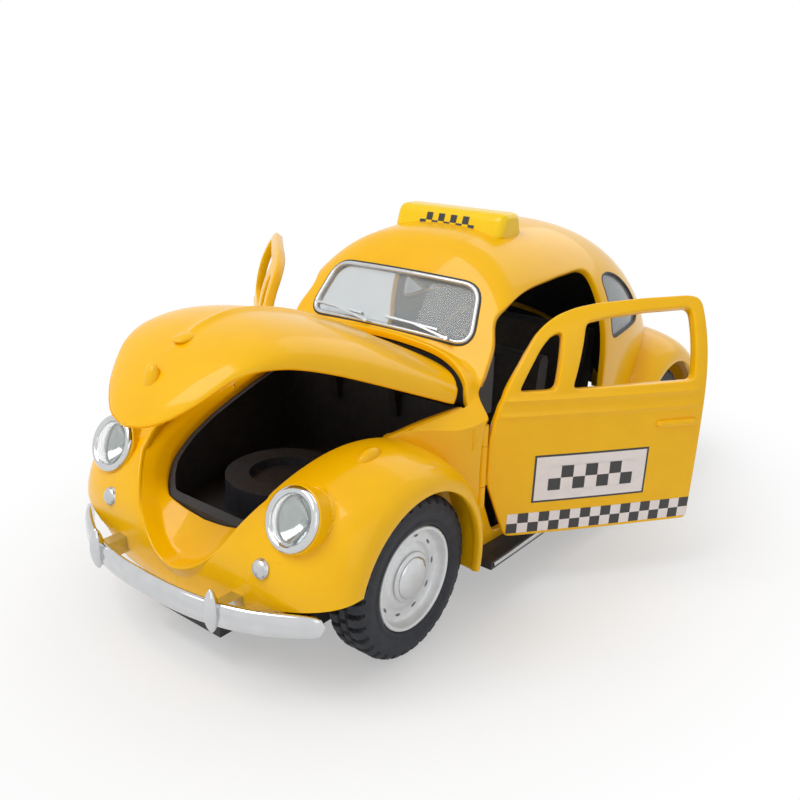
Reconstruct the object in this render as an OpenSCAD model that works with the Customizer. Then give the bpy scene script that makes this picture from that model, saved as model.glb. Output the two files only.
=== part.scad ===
/* [Overall] */
// Distance between the two axles
wheelbase = 73; // [66:1:80]
// Height of the flat underside above the ground
ride_height = 5; // [4:0.5:6]
// Reach of the nose ahead of the middle of the car
nose_reach = 56.2; // [52:0.2:62]
// Reach of the tail behind the middle of the car
tail_reach = 55; // [50:0.5:62]
// Width over the doors
body_w = 45; // [42:0.5:50]
// Roof height above the ground
roof_h = 49.6; // [46:0.2:56]
// Belt line height above the ground
belt_h = 27; // [25:0.5:29]
// Sill height above the ground
sill_h = 7.6; // [7.2:0.1:8]
// Thickness of the cast skin
wall = 1.2; // [0.9:0.1:1.5]

/* [Cabin and windscreen] */
// Reach of the cabin's front end ahead of the middle
cabin_lead = 33; // [30:0.5:36]
// Reach of the windscreen foot ahead of the middle
screen_foot = 16.3; // [15.5:0.1:17]
// Rise of the windscreen for each unit of run
screen_rise = 1.5; // [1.2:0.05:1.8]
// How far the windscreen falls back at its sides
screen_bow = 1; // [0:0.1:2]
// Rounding between the windscreen and the roof
brow_round = 4; // [2:0.5:6]

/* [Hood] */
// Height of the cowl above the ground
cowl_h = 35.4; // [33:0.2:37]
// Reach of the hood's rear edge ahead of the middle
hood_rear = 18.2; // [17.8:0.1:19]
// Width of the hood at its rear
hood_w = 38.8; // [36:0.2:40]
// Thickness of the hood panel
hood_wall = 1; // [0.8:0.1:1.4]
// Forward sweep of the hood's rear corners
hood_sweep = 3; // [2:0.2:4]
// Gap round the closed hood
hood_gap = 0.4; // [0.3:0.05:0.6]
// Fall of the cowl beside the hood for each unit of width
cowl_fall = 0.62; // [0.4:0.02:0.9]

/* [Fenders and wheels] */
// Width over the fenders
fender_w = 50.6; // [49:0.2:58]
// Reference radius of a fender's crown
fender_r = 18.6; // [17:0.2:20]
// Radius of a wheel arch
arch_r = 12.5; // [12:0.1:13.5]
// How far an arch's centre stands beyond its axle along the car
arch_lead = 0.9; // [0:0.1:1.5]
// How far an arch's centre stands above its axle
arch_lift = 0.2; // [0:0.1:1]
// Tyre radius
tyre_r = 10.9; // [10:0.1:11.2]

/* [Doors] */
// Reach of a door's front edge ahead of the middle
door_front = 19.3; // [18.5:0.1:20]
// Length of a door
door_len = 32.4; // [30:0.2:34]
// Height of a door's foot above the ground
door_foot_h = 9.2; // [9:0.1:10]
// Depth of a door's top below the roof
door_drop = 6.9; // [5.6:0.1:9]
// Gap round a closed door
door_gap = 0.35; // [0.25:0.05:0.5]
// Thickness of a door panel
door_wall = 1.6; // [1.2:0.1:2]
// Angle at which the left door stands open
left_open = 36; // [0:1:60]
// Angle at which the right door stands open
right_open = 48; // [0:1:60]

/* [Hinges] */
// Angle at which the hood stands open
hood_open = 29; // [0:1:44]
// Reach of the hood's hinge axis ahead of the middle
hood_axis = 21; // [20:0.1:22]
// Depth of the hood's hinge axis below the cowl
hood_axis_drop = 2.3; // [2.2:0.1:3]
// Radius of the hood's hinge pin
hood_pin_r = 0.35; // [0.3:0.05:0.5]
// Radius of a hood hinge barrel
hood_barrel_r = 0.75; // [0.65:0.05:0.9]
// Radius of a door's hinge pin
door_pin_r = 0.3; // [0.25:0.05:0.4]
// Radius of a door hinge barrel
door_barrel_r = 0.6; // [0.5:0.05:0.7]
// Running clearance of the hinges and axles
run_gap = 0.04; // [0.02:0.01:0.08]

/* [Windows and sign] */
// Width of a windscreen post at its foot
pillar_w = 7.5; // [6.5:0.25:9]
// Height of the windscreen glass, as a share of the roof's rise above the cowl
screen_len_share = 0.5775; // [0.5:0.0025:0.62]
// Width of the bright frame round the windscreen
frame_w = 0.8; // [0.5:0.1:1.2]
// Thickness of the panes
pane_t = 0.6; // [0.4:0.1:0.8]
// Length of a quarter window
quarter_len = 14; // [12:0.2:15]
// Width of the rear window
rear_screen_w = 18; // [14:0.5:20]
// Height of the rear window along its slope
rear_screen_len = 6.5; // [5:0.1:8]
// Length of the roof sign across the car
sign_len = 20.4; // [16:0.2:24]
// Depth of the roof sign along the car
sign_d = 7; // [5:0.2:9]
// Height of the roof sign above the roof
sign_h = 4.2; // [3:0.1:6]

/* [Running gear] */
// Distance between the middles of the left and right tyres
track = 40.6; // [38:0.2:46]
// Tyre width
tyre_w = 6; // [5:0.1:6.4]
// Rim radius
rim_r = 7; // [6:0.1:7.6]
// Hub cap radius
cap_r = 3.4; // [2.6:0.1:3.8]
// Axle radius
axle_r = 1; // [0.8:0.1:1.2]
// Thickness of the base plate
base_t = 2.2; // [1.8:0.1:2.4]
// Radius of a base screw's shank
screw_r = 0.8; // [0.6:0.1:1]

/* [Lamps and bumpers] */
// Headlamp radius over its bezel
lamp_r = 3.85; // [3.2:0.05:4.2]
// Upward lean of a headlamp
lamp_lean = 25; // [15:1:35]
// Distance between the headlamps
lamp_span = 34; // [30:0.5:38]
// Height of a headlamp above the ground
lamp_h = 23; // [21:0.2:25]
// Depth of a bumper's end inside the fenders' width
bumper_inset = 2.6; // [1:0.1:4]
// Reach of a bumper beyond the nose or tail
bumper_reach = 3.6; // [3:0.1:5]
// Height of a bumper bar's middle above the ground
bumper_h = 11.7; // [10.8:0.1:12.6]
// Depth of a bumper bar
bumper_bar = 3.2; // [2.4:0.1:3.8]

/* [Hidden] */
lateral = [1, -1];
// Shares of the run from the cabin's front end to the tail, with shares of the roof height
roof_line_shares = [[0, 0.9], [0.15, 0.93], [0.24, 0.957], [0.307, 0.98], [0.375, 0.995], [0.432, 1],
    [0.489, 0.998], [0.557, 0.99], [0.625, 0.97], [0.693, 0.935], [0.761, 0.88], [0.83, 0.795],
    [0.898, 0.67], [0.943, 0.545], [0.977, 0.405], [0.994, 0.28], [1, 0.21]];
// Shares of the same run, with shares of half the body width
belt_width_shares = [[0, 0.69], [0.057, 0.82], [0.102, 0.925], [0.148, 0.97], [0.24, 0.99], [0.375, 1],
    [0.48, 1], [0.557, 0.993], [0.64, 0.97], [0.73, 0.915], [0.82, 0.82], [0.898, 0.68], [0.943, 0.55],
    [0.977, 0.4], [0.994, 0.24], [1, 0.12]];
// Shares of the same run, with shares of the belt height
belt_height_shares = [[0, 1], [0.53, 1], [0.65, 0.97], [0.74, 0.9], [0.83, 0.77], [0.91, 0.58],
    [0.975, 0.43], [1, 0.37]];
// Shares of the same run, with the exponent of the section's rounding
roundness_shares = [[0, 2.2], [0.375, 2.45], [0.65, 2.4], [1, 2]];
// Stations of the cabin as shares of the same run
cabin_station_shares = [0, 0.03, 0.06, 0.09, 0.12, 0.145, 0.165, 0.18, 0.19, 0.197, 0.207, 0.222, 0.24, 0.258,
    0.276, 0.294, 0.315, 0.345, 0.38, 0.415, 0.45, 0.485, 0.52, 0.555, 0.59, 0.625, 0.66, 0.695, 0.73,
    0.765, 0.8, 0.835, 0.87, 0.9, 0.925, 0.947, 0.965, 0.979, 0.989, 0.996, 1];
// Inward tuck of the sides at the sill as a share of the half width
tuck_share = 0.03;
side_steps = 3;
round_steps = 12;
hollow_steps = 7;

// Shares of the hood's length from the nose, with shares of the cowl height along its middle
hood_crown_shares = [[0, 0.367], [0.0105, 0.43], [0.026, 0.508], [0.053, 0.6], [0.097, 0.695],
    [0.163, 0.78], [0.268, 0.859], [0.426, 0.921], [0.584, 0.958], [0.742, 0.981], [0.9, 0.995],
    [1, 1], [1.3, 1.003]];
// Shares of the hood's length, with shares of half its width
hood_width_shares = [[0, 0], [0.0105, 0.155], [0.026, 0.273], [0.053, 0.4], [0.097, 0.515],
    [0.163, 0.593], [0.268, 0.655], [0.426, 0.722], [0.584, 0.784], [0.742, 0.851], [0.9, 0.928],
    [1, 0.98], [1.3, 1.06]];
// Shares of the hood's length, with shares of the cowl height along its edge
hood_edge_shares = [[0, 0.367], [0.0105, 0.395], [0.026, 0.44], [0.053, 0.517], [0.097, 0.621],
    [0.163, 0.684], [0.268, 0.729], [0.426, 0.763], [0.584, 0.785], [0.742, 0.805], [0.9, 0.825],
    [1, 0.836], [1.3, 0.845]];
hood_roundness = 2.2;
hood_flat_share = 0.5;
hood_tip_share = 0.004;
hood_rows = 18;
hood_cols = 20;
// Shares of the hood's length, with shares of the cowl height along the bay's inner edge
bay_edge_shares = [[0, 0.485], [0.053, 0.52], [0.163, 0.622], [0.43, 0.718], [0.9, 0.79], [1.3, 0.8]];
bay_width_share = 0.92;
bay_length_share = 0.9;
// Share of the bay's length at which its straight front edge lies
bay_flat_share = 0.05;
apron_tuck_share = 0.03;

// Angles round the front axle from the rear over the top to the front, with shares of the crown radius
front_crown_shares = [[-14, 0.75], [0, 0.75], [20, 0.785], [50, 0.87], [90, 0.915], [115, 0.955],
    [140, 1], [160, 1.005], [171, 0.99]];
rear_crown_shares = [[-14, 0.75], [0, 0.75], [20, 0.785], [50, 0.87], [90, 0.93], [115, 0.95],
    [140, 0.97], [160, 0.96], [171, 0.935]];
// Angles, with shares of half the width over the fenders at a fender's inner edge
front_inner_shares = [[-14, 0.78], [20, 0.68], [60, 0.52], [90, 0.45], [140, 0.31], [160, 0.21], [172, 0.1],
    [180, -0.02], [190, -0.02]];
rear_inner_shares = [[-14, 0.78], [20, 0.68], [60, 0.5], [90, 0.4], [115, 0.32], [140, 0.2], [171, 0.06]];
fender_roundness = 2.3;
fender_rows = 18;
fender_cols = 7;
fender_start = -14;
fender_end = 162;
// Further angle of a fender's inner edge, down to the apron
apron_angle = 23;

// Door outline: shares of the door's length, with shares of its height
door_outline_shares = [[0.1, 0], [1, 0], [1, 0.965], [0.985, 0.99], [0.94, 1], [0.72, 0.997], [0.5, 0.984],
    [0.4, 0.969], [0.32, 0.946], [0.26, 0.916], [0.207, 0.875], [0.155, 0.807], [0.107, 0.735], [0.07, 0.672],
    [0.04, 0.6], [0.015, 0.52], [0, 0.46], [0, 0.26]];
// Door windows in the same shares
vent_shares = [[0.118, 0.65], [0.285, 0.65], [0.322, 0.88], [0.272, 0.866], [0.22, 0.818], [0.165, 0.735]];
main_window_shares = [[0.358, 0.65], [0.935, 0.655], [0.94, 0.953], [0.72, 0.947], [0.53, 0.93],
    [0.432, 0.912]];
// Quarter window: shares of its length, with shares of the height from belt to roof
quarter_shares = [[0.02, 0.2], [0.86, 0.23], [0.97, 0.28], [1, 0.34], [0.84, 0.48], [0.58, 0.585],
    [0.3, 0.635], [0.03, 0.62]];
quarter_lead_share = 0.08;

over = wall;
far = 2 * body_w;
cabin_run = cabin_lead + tail_reach;
hood_run = nose_reach - hood_rear;

// Height above the ground, in the part's frame
function up(h) = h - ride_height;
function unit(t) = min(1, max(0, t));
function segment(rows, s, i = 0) = i >= len(rows) - 2 || s <= rows[i + 1][0] ? i : segment(rows, s, i + 1);
function slope(rows, i) = (rows[i + 1][1] - rows[i][1]) / (rows[i + 1][0] - rows[i][0]);
function meet(a, b) = a * b <= 0 ? 0 : 2 * a * b / (a + b);
function tangent(rows, i) = i == 0 ? slope(rows, 0)
    : i == len(rows) - 1 ? slope(rows, i - 1) : meet(slope(rows, i - 1), slope(rows, i));
function hermite(a, b, ma, mb, t) = (1 + 2 * t) * (1 - t) * (1 - t) * a + t * (1 - t) * (1 - t) * ma
    + t * t * (3 - 2 * t) * b + t * t * (t - 1) * mb;
// Value at s of the smooth curve through the rows
function curve_at(rows, s) = let (i = segment(rows, s), h = rows[i + 1][0] - rows[i][0])
    hermite(rows[i][1], rows[i + 1][1], tangent(rows, i) * h, tangent(rows, i + 1) * h,
        unit((s - rows[i][0]) / h));
// Lower of two heights, blended over a width k
function soft_min(a, b, k) = let (h = max(k - abs(a - b), 0) / k) min(a, b) - h * h * k / 4;

// Hood and cowl surface
function hood_at(y) = unit((y + nose_reach) / hood_run / 1.3) * 1.3;
function hood_x(t) = hood_w / 2 * curve_at(hood_width_shares, t);
function hood_edge(t) = cowl_h * curve_at(hood_edge_shares, t);
function hood_crown(t) = cowl_h * curve_at(hood_crown_shares, t);
function deck_rise(a) = pow(max(0, 1 - pow(a, hood_roundness)), 1 / hood_roundness);
function deck_z(x, y) = let (t = hood_at(y), w = hood_x(t), e = hood_edge(t))
    abs(x) < w ? e + (hood_crown(t) - e) * deck_rise(abs(x) / w) : e - (abs(x) - w) * cowl_fall;

// Cabin surface
function cabin_y(t) = t * cabin_run - cabin_lead;
function cabin_at(y) = unit((y + cabin_lead) / cabin_run);
function bowed(x) = screen_bow * pow(2 * x / hood_w * 1.25, 2);
function screen_z(x, y) = cowl_h + screen_rise * (y + screen_foot - bowed(x));
// The cowl falls away behind the windscreen's foot
function cowl_z(x, y) = deck_z(x, y) - max(0, y + screen_foot) * screen_rise / 2;
function top_z(x, y, z) = max(cowl_z(x, y), soft_min(z, screen_z(x, y), brow_round));
// One half section of the cabin, from the sill up to the middle of the roof; a plain side has no windscreen
function half_section(t, inset, steps, side) = let (
    y = cabin_y(t),
    foot = inset > 0 ? sill_h - over : sill_h,
    w = body_w / 2 * curve_at(belt_width_shares, t),
    b = min(belt_h * curve_at(belt_height_shares, t), roof_h * curve_at(roof_line_shares, t) - wall),
    r = roof_h * curve_at(roof_line_shares, t),
    n = curve_at(roundness_shares, t))
    concat(
        [for (i = [0 : side_steps - 1]) let (q = 1 - i / side_steps)
            [max(w * (1 - tuck_share * q * q) - inset, wall / 4), foot + (b - foot) * (1 - q)]],
        [for (i = [0 : steps]) let (a = 90 * i / steps, c = pow(cos(a), 2 / n), s = pow(sin(a), 2 / n),
            z = b + (r - b) * s)
            [max(0, (w - inset) * c), (side ? z : top_z(w * c, y, z)) - inset * s]]);
function ring_y(t, inset) = cabin_y(t) - inset * t - (t == 0 && inset > 0 ? over : 0);
function cabin_ring(t, inset, steps, side) = let (
    h = half_section(t, inset, steps, side), m = len(h), y = ring_y(t, inset))
    concat([for (p = h) [p[0], y, up(p[1])]], [for (i = [m - 2 : -1 : 0]) [-h[i][0], y, up(h[i][1])]]);

function quad(a, b, c, d) = [[a, b, c], [a, c, d]];
// A run of closed rings, capped at both ends
module loft(rings) {
    n = len(rings);
    m = len(rings[0]);
    polyhedron(points = [for (r = rings) each r], faces = concat(
        [for (i = [0 : n - 2], j = [0 : m - 1]) let (k = (j + 1) % m)
            each quad(i * m + j, i * m + k, (i + 1) * m + k, (i + 1) * m + j)],
        [[for (j = [m - 1 : -1 : 0]) j]],
        [[for (j = [0 : m - 1]) (n - 1) * m + j]]));
}
// A sheet between two grids of points
module sheet(outer, inner) {
    n = len(outer);
    m = len(outer[0]);
    s = n * m;
    polyhedron(points = concat([for (r = outer) each r], [for (r = inner) each r]), faces = concat(
        [for (i = [0 : n - 2], j = [0 : m - 2]) let (a = i * m + j)
            each concat(quad(a, a + 1, a + m + 1, a + m), quad(s + a, s + a + m, s + a + m + 1, s + a + 1))],
        [for (j = [0 : m - 2]) let (b = (n - 1) * m + j)
            each concat(quad(j + 1, j, s + j, s + j + 1), quad(b, b + 1, s + b + 1, s + b))],
        [for (i = [0 : n - 2]) let (a = i * m, b = i * m + m - 1)
            each concat(quad(a, a + m, s + a + m, s + a), quad(b + m, b, s + b, s + b + m))]));
}
// Joins what it holds into one cast skin
module cast() resize([0, 0, 0]) children();
module both_sides() for (s = lateral) scale([s, 1, 1]) children();

module cabin_solid(inset = 0, steps = round_steps, skip = 1, side = false)
    loft([for (i = [0 : skip : len(cabin_station_shares) - 1])
        cabin_ring(cabin_station_shares[i], inset, steps, side)]);
module cabin_hollow() cabin_solid(wall, hollow_steps, 2);
module cabin_skin(outer, inner, side = false) difference() {
    cabin_solid(outer, side = side);
    cabin_solid(inner, side = side);
}

// Hood panel, closed
function hood_point(t, a, inset) = let (
    c = pow(abs(cos(a)), 2 / hood_roundness) * sign(cos(a)),
    k = max(0, (abs(c) - hood_flat_share) / (1 - hood_flat_share)),
    y = t * (hood_run - hood_sweep * k * k) - nose_reach,
    u = hood_at(y), e = hood_edge(u))
    [c * max(0, hood_x(u) - inset), y + inset * (1 - t),
        up(e + max(0, hood_crown(u) - e - inset) * pow(sin(a), 2 / hood_roundness))];
function hood_row(i) = hood_tip_share + (1 - hood_tip_share) * pow(i / hood_rows, 2);
function hood_grid(inset) = [for (i = [0 : hood_rows])
    [for (j = [0 : hood_cols]) hood_point(hood_row(i), 180 * j / hood_cols, inset)]];
module hood_skin() sheet(hood_grid(0), hood_grid(hood_wall));

// Fender as a sheet round its axle
function fender_point(crown, inner, a, s, inset) = let (
    xi = fender_w / 2 * curve_at(inner, a),
    xl = fender_w / 2 - inset,
    r = arch_r + max(wall / 4, fender_r * curve_at(crown, a) - inset - arch_r)
        * pow(cos(90 * s), 2 / fender_roundness),
    x = xi + (xl - xi) * pow(sin(90 * s), 2 / fender_roundness))
    [x, r * cos(a), r * sin(a)];
function fender_angle(i, s) = fender_start
    + (fender_end + (1 - s) * apron_angle - fender_start) * i / fender_rows;
function fender_grid(crown, inner, inset) = [for (i = [0 : fender_rows]) [for (j = [0 : fender_cols])
    let (s = j / fender_cols) fender_point(crown, inner, fender_angle(i, s), s, inset)]];
module fender(crown, inner) translate([0, -wheelbase / 2 - arch_lead, up(tyre_r + arch_lift)])
    sheet(fender_grid(crown, inner, 0), fender_grid(crown, inner, wall));

// Collar under the hood's edge: seat, flange and apron
apron_h = sill_h + 1.5 * wall;
collar_shares = [0.92, 0.83, 0.74, 0.66, 0.58, 0.5, 0.43, 0.36, 0.3, 0.25, 0.2, 0.163, 0.13, 0.1, 0.075,
    0.053, 0.035, 0.02, 0.01, 0.003, 0];
function run_y(t) = (t - 1) * hood_run * bay_length_share - hood_rear;
function bay_y(t) = run_y(max(t, bay_flat_share));
function bay_x(t) = hood_x(t) * bay_width_share;
function bay_z(t) = cowl_h * curve_at(bay_edge_shares, t);
// Flat seat for the hood's edge, then the flange up to the bay
lip_w = hood_wall + 2 * hood_gap;
function collar_ring(t, s) = let (x = hood_x(t), y = t * hood_run - nose_reach, rim = hood_edge(t) - hood_gap,
    dx = bay_x(t) - x, dy = bay_y(t) - y, k = min(0.46, lip_w / norm([dx, dy])))
    [[s * x * (1 - apron_tuck_share), y + wall, up(apron_h)], [s * bay_x(t), bay_y(t), up(apron_h)],
        [s * bay_x(t), bay_y(t), up(bay_z(t))],
        [s * (x + dx * k), y + dy * k, up(rim + min(0, (bay_z(t) - rim) * k))], [s * x, y, up(rim)]];
module collar() {
    n = len(collar_shares);
    loft(concat([for (t = collar_shares) collar_ring(t, 1)],
        [for (i = [n - 2 : -1 : 0]) collar_ring(collar_shares[i], -1)]));
}
// Plan of the bay inside the collar
module bay_plan() {
    n = len(collar_shares);
    polygon(concat([for (t = collar_shares) [bay_x(t), bay_y(t)]],
        [for (i = [n - 2 : -1 : 0]) [-bay_x(collar_shares[i]), bay_y(collar_shares[i])]],
        [for (s = [-1, 1]) [s * bay_x(collar_shares[0]), -hood_rear]]));
}
function flat(p) = [p[0], p[1]];
module hood_plan() polygon(concat([for (i = [0 : hood_rows]) flat(hood_point(hood_row(i), 0, 0))],
    [for (j = [1 : hood_cols - 1]) flat(hood_point(1, 180 * j / hood_cols, 0))],
    [for (i = [hood_rows : -1 : 0]) flat(hood_point(hood_row(i), 180, 0))]));
// Space that the closed hood and its swinging rear edge need
seat_shares = [-0.05, 0, 0.01, 0.026, 0.053, 0.097, 0.163, 0.268, 0.426, 0.584, 0.742, 0.9, 1.06];
hood_rear_gap = 2.4 * hood_gap;
hood_seat_gap = 0.6 * hood_gap;
module above_edge(e) loft([for (t = seat_shares) let (y = t * hood_run - nose_reach, z = up(hood_edge(t) - e))
    [[far, y, z], [far, y, far], [-far, y, far], [-far, y, z]]]);
module hood_space() intersection() {
    linear_extrude(height = far) {
        offset(delta = hood_gap) hood_plan();
        translate([0, hood_rear_gap - hood_gap]) offset(delta = hood_gap) hood_plan();
    }
    above_edge(1.3 * hood_gap);
}
// An outline in length and height, run across the car's left half
module side_prism(reach = far) rotate([90, 0, 90]) linear_extrude(height = reach) children();
module rounded(r) offset(r = r) offset(delta = -r) children();

// Doors
hinge_gap = door_barrel_r + 2 * run_gap;
hinge_y = -door_front - hinge_gap;
hinge_inset = 0.6 * door_barrel_r;
hinge_x = body_w / 2 * curve_at(belt_width_shares, cabin_at(hinge_y)) - hinge_inset;
door_top_h = roof_h - door_drop;
door_high = door_top_h - door_foot_h;
function door_at(p, lead = 0) = [p[0] * door_len - door_front - (p[0] == 0 ? lead : 0),
    up(door_foot_h + p[1] * door_high)];
module door_outline(lead = 0) polygon([for (p = door_outline_shares) door_at(p, lead)]);
// Side of the cabin that a door takes up: shares of half the width at the belt, above it and at the top
door_depth_shares = [0.87, 0.85, 0.68];
module door_region(grow = 0) rotate([90, 0, 0]) linear_extrude(height = far, center = true)
    polygon([[far, -far], [far, far], [door_depth_shares[2] * body_w / 2 - grow, far],
        [door_depth_shares[2] * body_w / 2 - grow, up(door_top_h)],
        [door_depth_shares[1] * body_w / 2 - grow, up((belt_h + door_top_h) / 2) + wall],
        [door_depth_shares[0] * body_w / 2 - grow, up(belt_h) + 2 * wall],
        [door_depth_shares[0] * body_w / 2 - grow, -far]]);
module door_windows() rounded(wall / 2) {
    polygon([for (p = vent_shares) door_at(p)]);
    polygon([for (p = main_window_shares) door_at(p)]);
}
// Door handle in the same shares
handle_shares = [[0.76, 0.457], [0.965, 0.457], [0.965, 0.492], [0.76, 0.492]];
handle_t = door_wall * 0.3;
// Heights of the hinge barrels: foot, moving span, top
barrel_shares = [0.16, 0.25, 0.43, 0.52];
function barrel_z(i) = up(door_foot_h + barrel_shares[i] * door_high);
tab_t = door_barrel_r;
tab_run = 3 * door_barrel_r;
module door_barrel(i, dir, bore) difference() {
    union() {
        translate([hinge_x, hinge_y, barrel_z(i) + run_gap])
            cylinder(h = barrel_h(i), r = door_barrel_r, $fn = 32);
        hinge_tab(i, dir, 0);
    }
    translate([hinge_x, hinge_y, barrel_z(i) - over]) cylinder(h = door_high, r = bore, $fn = 32);
}
function barrel_h(i) = barrel_z(i + 1) - barrel_z(i) - 2 * run_gap;
module hinge_tab(i, dir, ease) translate([hinge_x - door_barrel_r - ease,
    hinge_y + (dir < 0 ? -hinge_gap - tab_run - ease : 0), barrel_z(i) + run_gap - ease])
    cube([tab_t + 2 * ease, hinge_gap + tab_run + ease, barrel_h(i) + 2 * ease]);
module door_skin() cast() difference() {
    union() {
        intersection() {
            cabin_skin(0, door_wall, true);
            side_prism() door_outline();
            door_region();
        }
        intersection() {
            cabin_skin(-handle_t, door_wall / 2, true);
            side_prism() rounded(door_wall / 3) polygon([for (p = handle_shares) door_at(p)]);
        }
    }
    side_prism() door_windows();
    hinge_tab(1, 1, run_gap);
}
module swing_left() translate([hinge_x, hinge_y, 0]) rotate([0, 0, -left_open])
    translate([-hinge_x, -hinge_y, 0]) children();
module swing_right() translate([-hinge_x, hinge_y, 0]) rotate([0, 0, right_open])
    translate([hinge_x, -hinge_y, 0]) scale([-1, 1, 1]) children();

// Hood hinge
hood_axis_z = up(cowl_h - hood_axis_drop);
module swing_hood() translate([0, -hood_axis, hood_axis_z]) rotate([-hood_open, 0, 0])
    translate([0, hood_axis, -hood_axis_z]) children();
module across(h, r) rotate([0, 90, 0]) cylinder(h = h, r = r, center = true, $fn = 40);

// Windows
screen_base = wall * 0.7;
screen_w = body_w - 2 * pillar_w;
screen_len = (roof_h - cowl_h) * screen_len_share;
screen_top_share = 0.88;
screen_round = 2 * wall;
pane_inset = wall / 3;
frame_rise_share = 0.8;
fit = 0.05 * wall;
module screen_outline(grow) offset(r = grow) rounded(screen_round) polygon([for (p = [[-1, 0], [1, 0],
    [screen_top_share, 1], [-screen_top_share, 1]]) [p[0] * screen_w / 2, screen_base + p[1] * screen_len]]);
module on_screen() translate([0, -screen_foot, up(cowl_h)]) rotate([atan(screen_rise), 0, 0]) children();
module screen_prism(grow = 0) on_screen() translate([0, 0, -4 * wall])
    linear_extrude(height = 8 * wall) screen_outline(grow);
rear_screen_share = 0.775;
rear_screen_slope = roof_h * (curve_at(roof_line_shares, rear_screen_share + 0.03)
    - curve_at(roof_line_shares, rear_screen_share - 0.03)) / (0.06 * cabin_run);
rear_screen_z = up(roof_h * curve_at(roof_line_shares, rear_screen_share));
module rear_outline(grow) offset(r = grow) rounded(screen_round)
    square([rear_screen_w, rear_screen_len], center = true);
module rear_prism(grow = 0) translate([0, cabin_y(rear_screen_share), rear_screen_z])
    rotate([atan(rear_screen_slope), 0, 0]) translate([0, 0, -4 * wall])
    linear_extrude(height = 8 * wall) rear_outline(grow);
quarter_y = door_len - door_front + quarter_lead_share * door_len;
module quarter_outline(grow) offset(r = grow) rounded(wall) polygon([for (p = quarter_shares)
    [quarter_y + p[0] * quarter_len, up(belt_h + p[1] * (roof_h - belt_h))]]);
module quarter_prism(grow = 0) translate([body_w / 4, 0, 0]) side_prism() quarter_outline(grow);
module pane() cast() intersection() {
    cabin_skin(pane_inset, pane_inset + pane_t);
    children();
}

// Wipers: pivot, elbow and both ends of the blade, in shares of the glass width and height
wiper_shares = [[[0.407, 0.054], [0.193, 0.19], [0.014, 0.215], [0.34, 0.175]],
    [[-0.087, 0.054], [-0.3, 0.19], [-0.456, 0.215], [-0.13, 0.175]]];
wiper_t = wall * 0.25;
wiper_lift = wall * 0.6;
function on_glass(p) = [p[0] * screen_w, p[1] * screen_len];
// Fall of the bowed windscreen behind its own middle plane
function screen_back(x) = bowed(x) * sin(atan(screen_rise));
module strip(a, b, t) translate([a[0], a[1], 0]) rotate([0, 0, atan2(b[1] - a[1], b[0] - a[0])])
    translate([0, -wiper_t / 2, 0]) cube([norm(b - a), wiper_t, t]);

// Wheels
axle_z = up(tyre_r);
well_r = (tyre_r + arch_r) / 2;
well_in = track / 2 - tyre_w / 2 - wall;
face = tyre_w / 2 - wall / 3;
module at_wheel(s, e) translate([s * track / 2, e * wheelbase / 2, axle_z]) rotate([0, s * 90, 0]) children();
module tyre_ring() rotate_extrude($fn = 64) difference() {
    rounded(tyre_w / 4) translate([rim_r - tyre_w / 2, -tyre_w / 2])
        square([tyre_r - rim_r + tyre_w / 2, tyre_w]);
    translate([-rim_r, -tyre_w]) square([2 * rim_r, 2 * tyre_w]);
    for (g = [-1, 0, 1]) translate([tyre_r, g * tyre_w / 6]) circle(r = tyre_w / 24, $fn = 12);
}
hub_face = face * 0.66;
module rim_dish() rotate_extrude($fn = 64) polygon([[axle_r, -face], [rim_r, -face], [rim_r, face],
    [rim_r * 0.93, face], [rim_r * 0.86, face * 0.62], [rim_r * 0.62, face * 0.5],
    [cap_r * 1.06, hub_face], [axle_r, hub_face]]);
cap_h = face * 0.5;
module cap_dome() translate([0, 0, hub_face]) rotate_extrude($fn = 48) polygon(concat([[0, cap_h * 0.3],
    [axle_r * 1.1, cap_h * 0.3], [axle_r * 1.1, 0], [cap_r, 0]],
    [for (i = [0 : 8]) [cap_r * cos(11.25 * i), cap_h * (0.3 + 0.7 * sin(11.25 * i))]]));
module axle_rod(e) translate([0, e * wheelbase / 2, axle_z]) across(track + 2 * hub_face, axle_r);

// Base plate
base_half = well_in - wall;
base_mid_half = body_w / 2 - 2.5 * wall;
base_mid_t = up(sill_h) + wall / 3;
front_post_y = -nose_reach + 2.6 * wall;
rear_post_y = tail_reach - 7.5 * wall;
post_r = 2.6 * screw_r;
head_r = 2 * screw_r;
head_t = 1.2 * screw_r;
// Run of a screw in its post, which ends below the flange
screw_bite = 6 * screw_r;
bearing_half = base_half * 0.8;
bearing_d = 5 * axle_r;
base_front = nose_reach - 0.8 * wall;
base_rear = tail_reach - 3 * wall;
mid_run = wheelbase - 2 * arch_r - 4 * wall;
module plank(w, y0, y1, h) translate([-w, y0, 0]) cube([2 * w, y1 - y0, h]);
posts = [front_post_y, rear_post_y];

// Fittings on the fenders
fender_y = -wheelbase / 2 - arch_lead;
fender_z = up(tyre_r + arch_lift);
lamp_rise = up(lamp_h) - fender_z;
lamp_y = fender_y - sqrt(max(0, fender_r * fender_r - lamp_rise * lamp_rise));
bezel_w = lamp_r * 0.24;
module at_lamp() translate([lamp_span / 2, lamp_y, up(lamp_h)]) rotate([90 - lamp_lean, 0, 0]) children();
horn_angle = 161;
horn_r = lamp_r * 0.32;
horn_seat_share = 0.955;
horn_x_share = 0.57;
module at_crown(x, a, r) translate([x, fender_y + r * cos(a), fender_z + r * sin(a)])
    rotate([a - 90, 0, 0]) children();
module at_horn() at_crown(fender_w / 2 * horn_x_share, horn_angle, fender_r * horn_seat_share) children();
module dome(r, h, n) rotate_extrude($fn = n) polygon(concat([[0, 0], [r, 0]],
    [for (i = [0 : 6]) [r * cos(15 * i), h * (0.4 + 0.6 * sin(15 * i))]]));
lamp_back = lamp_r * 1.3;
tail_angle = 142;
tail_r = lamp_r * 0.42;
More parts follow.
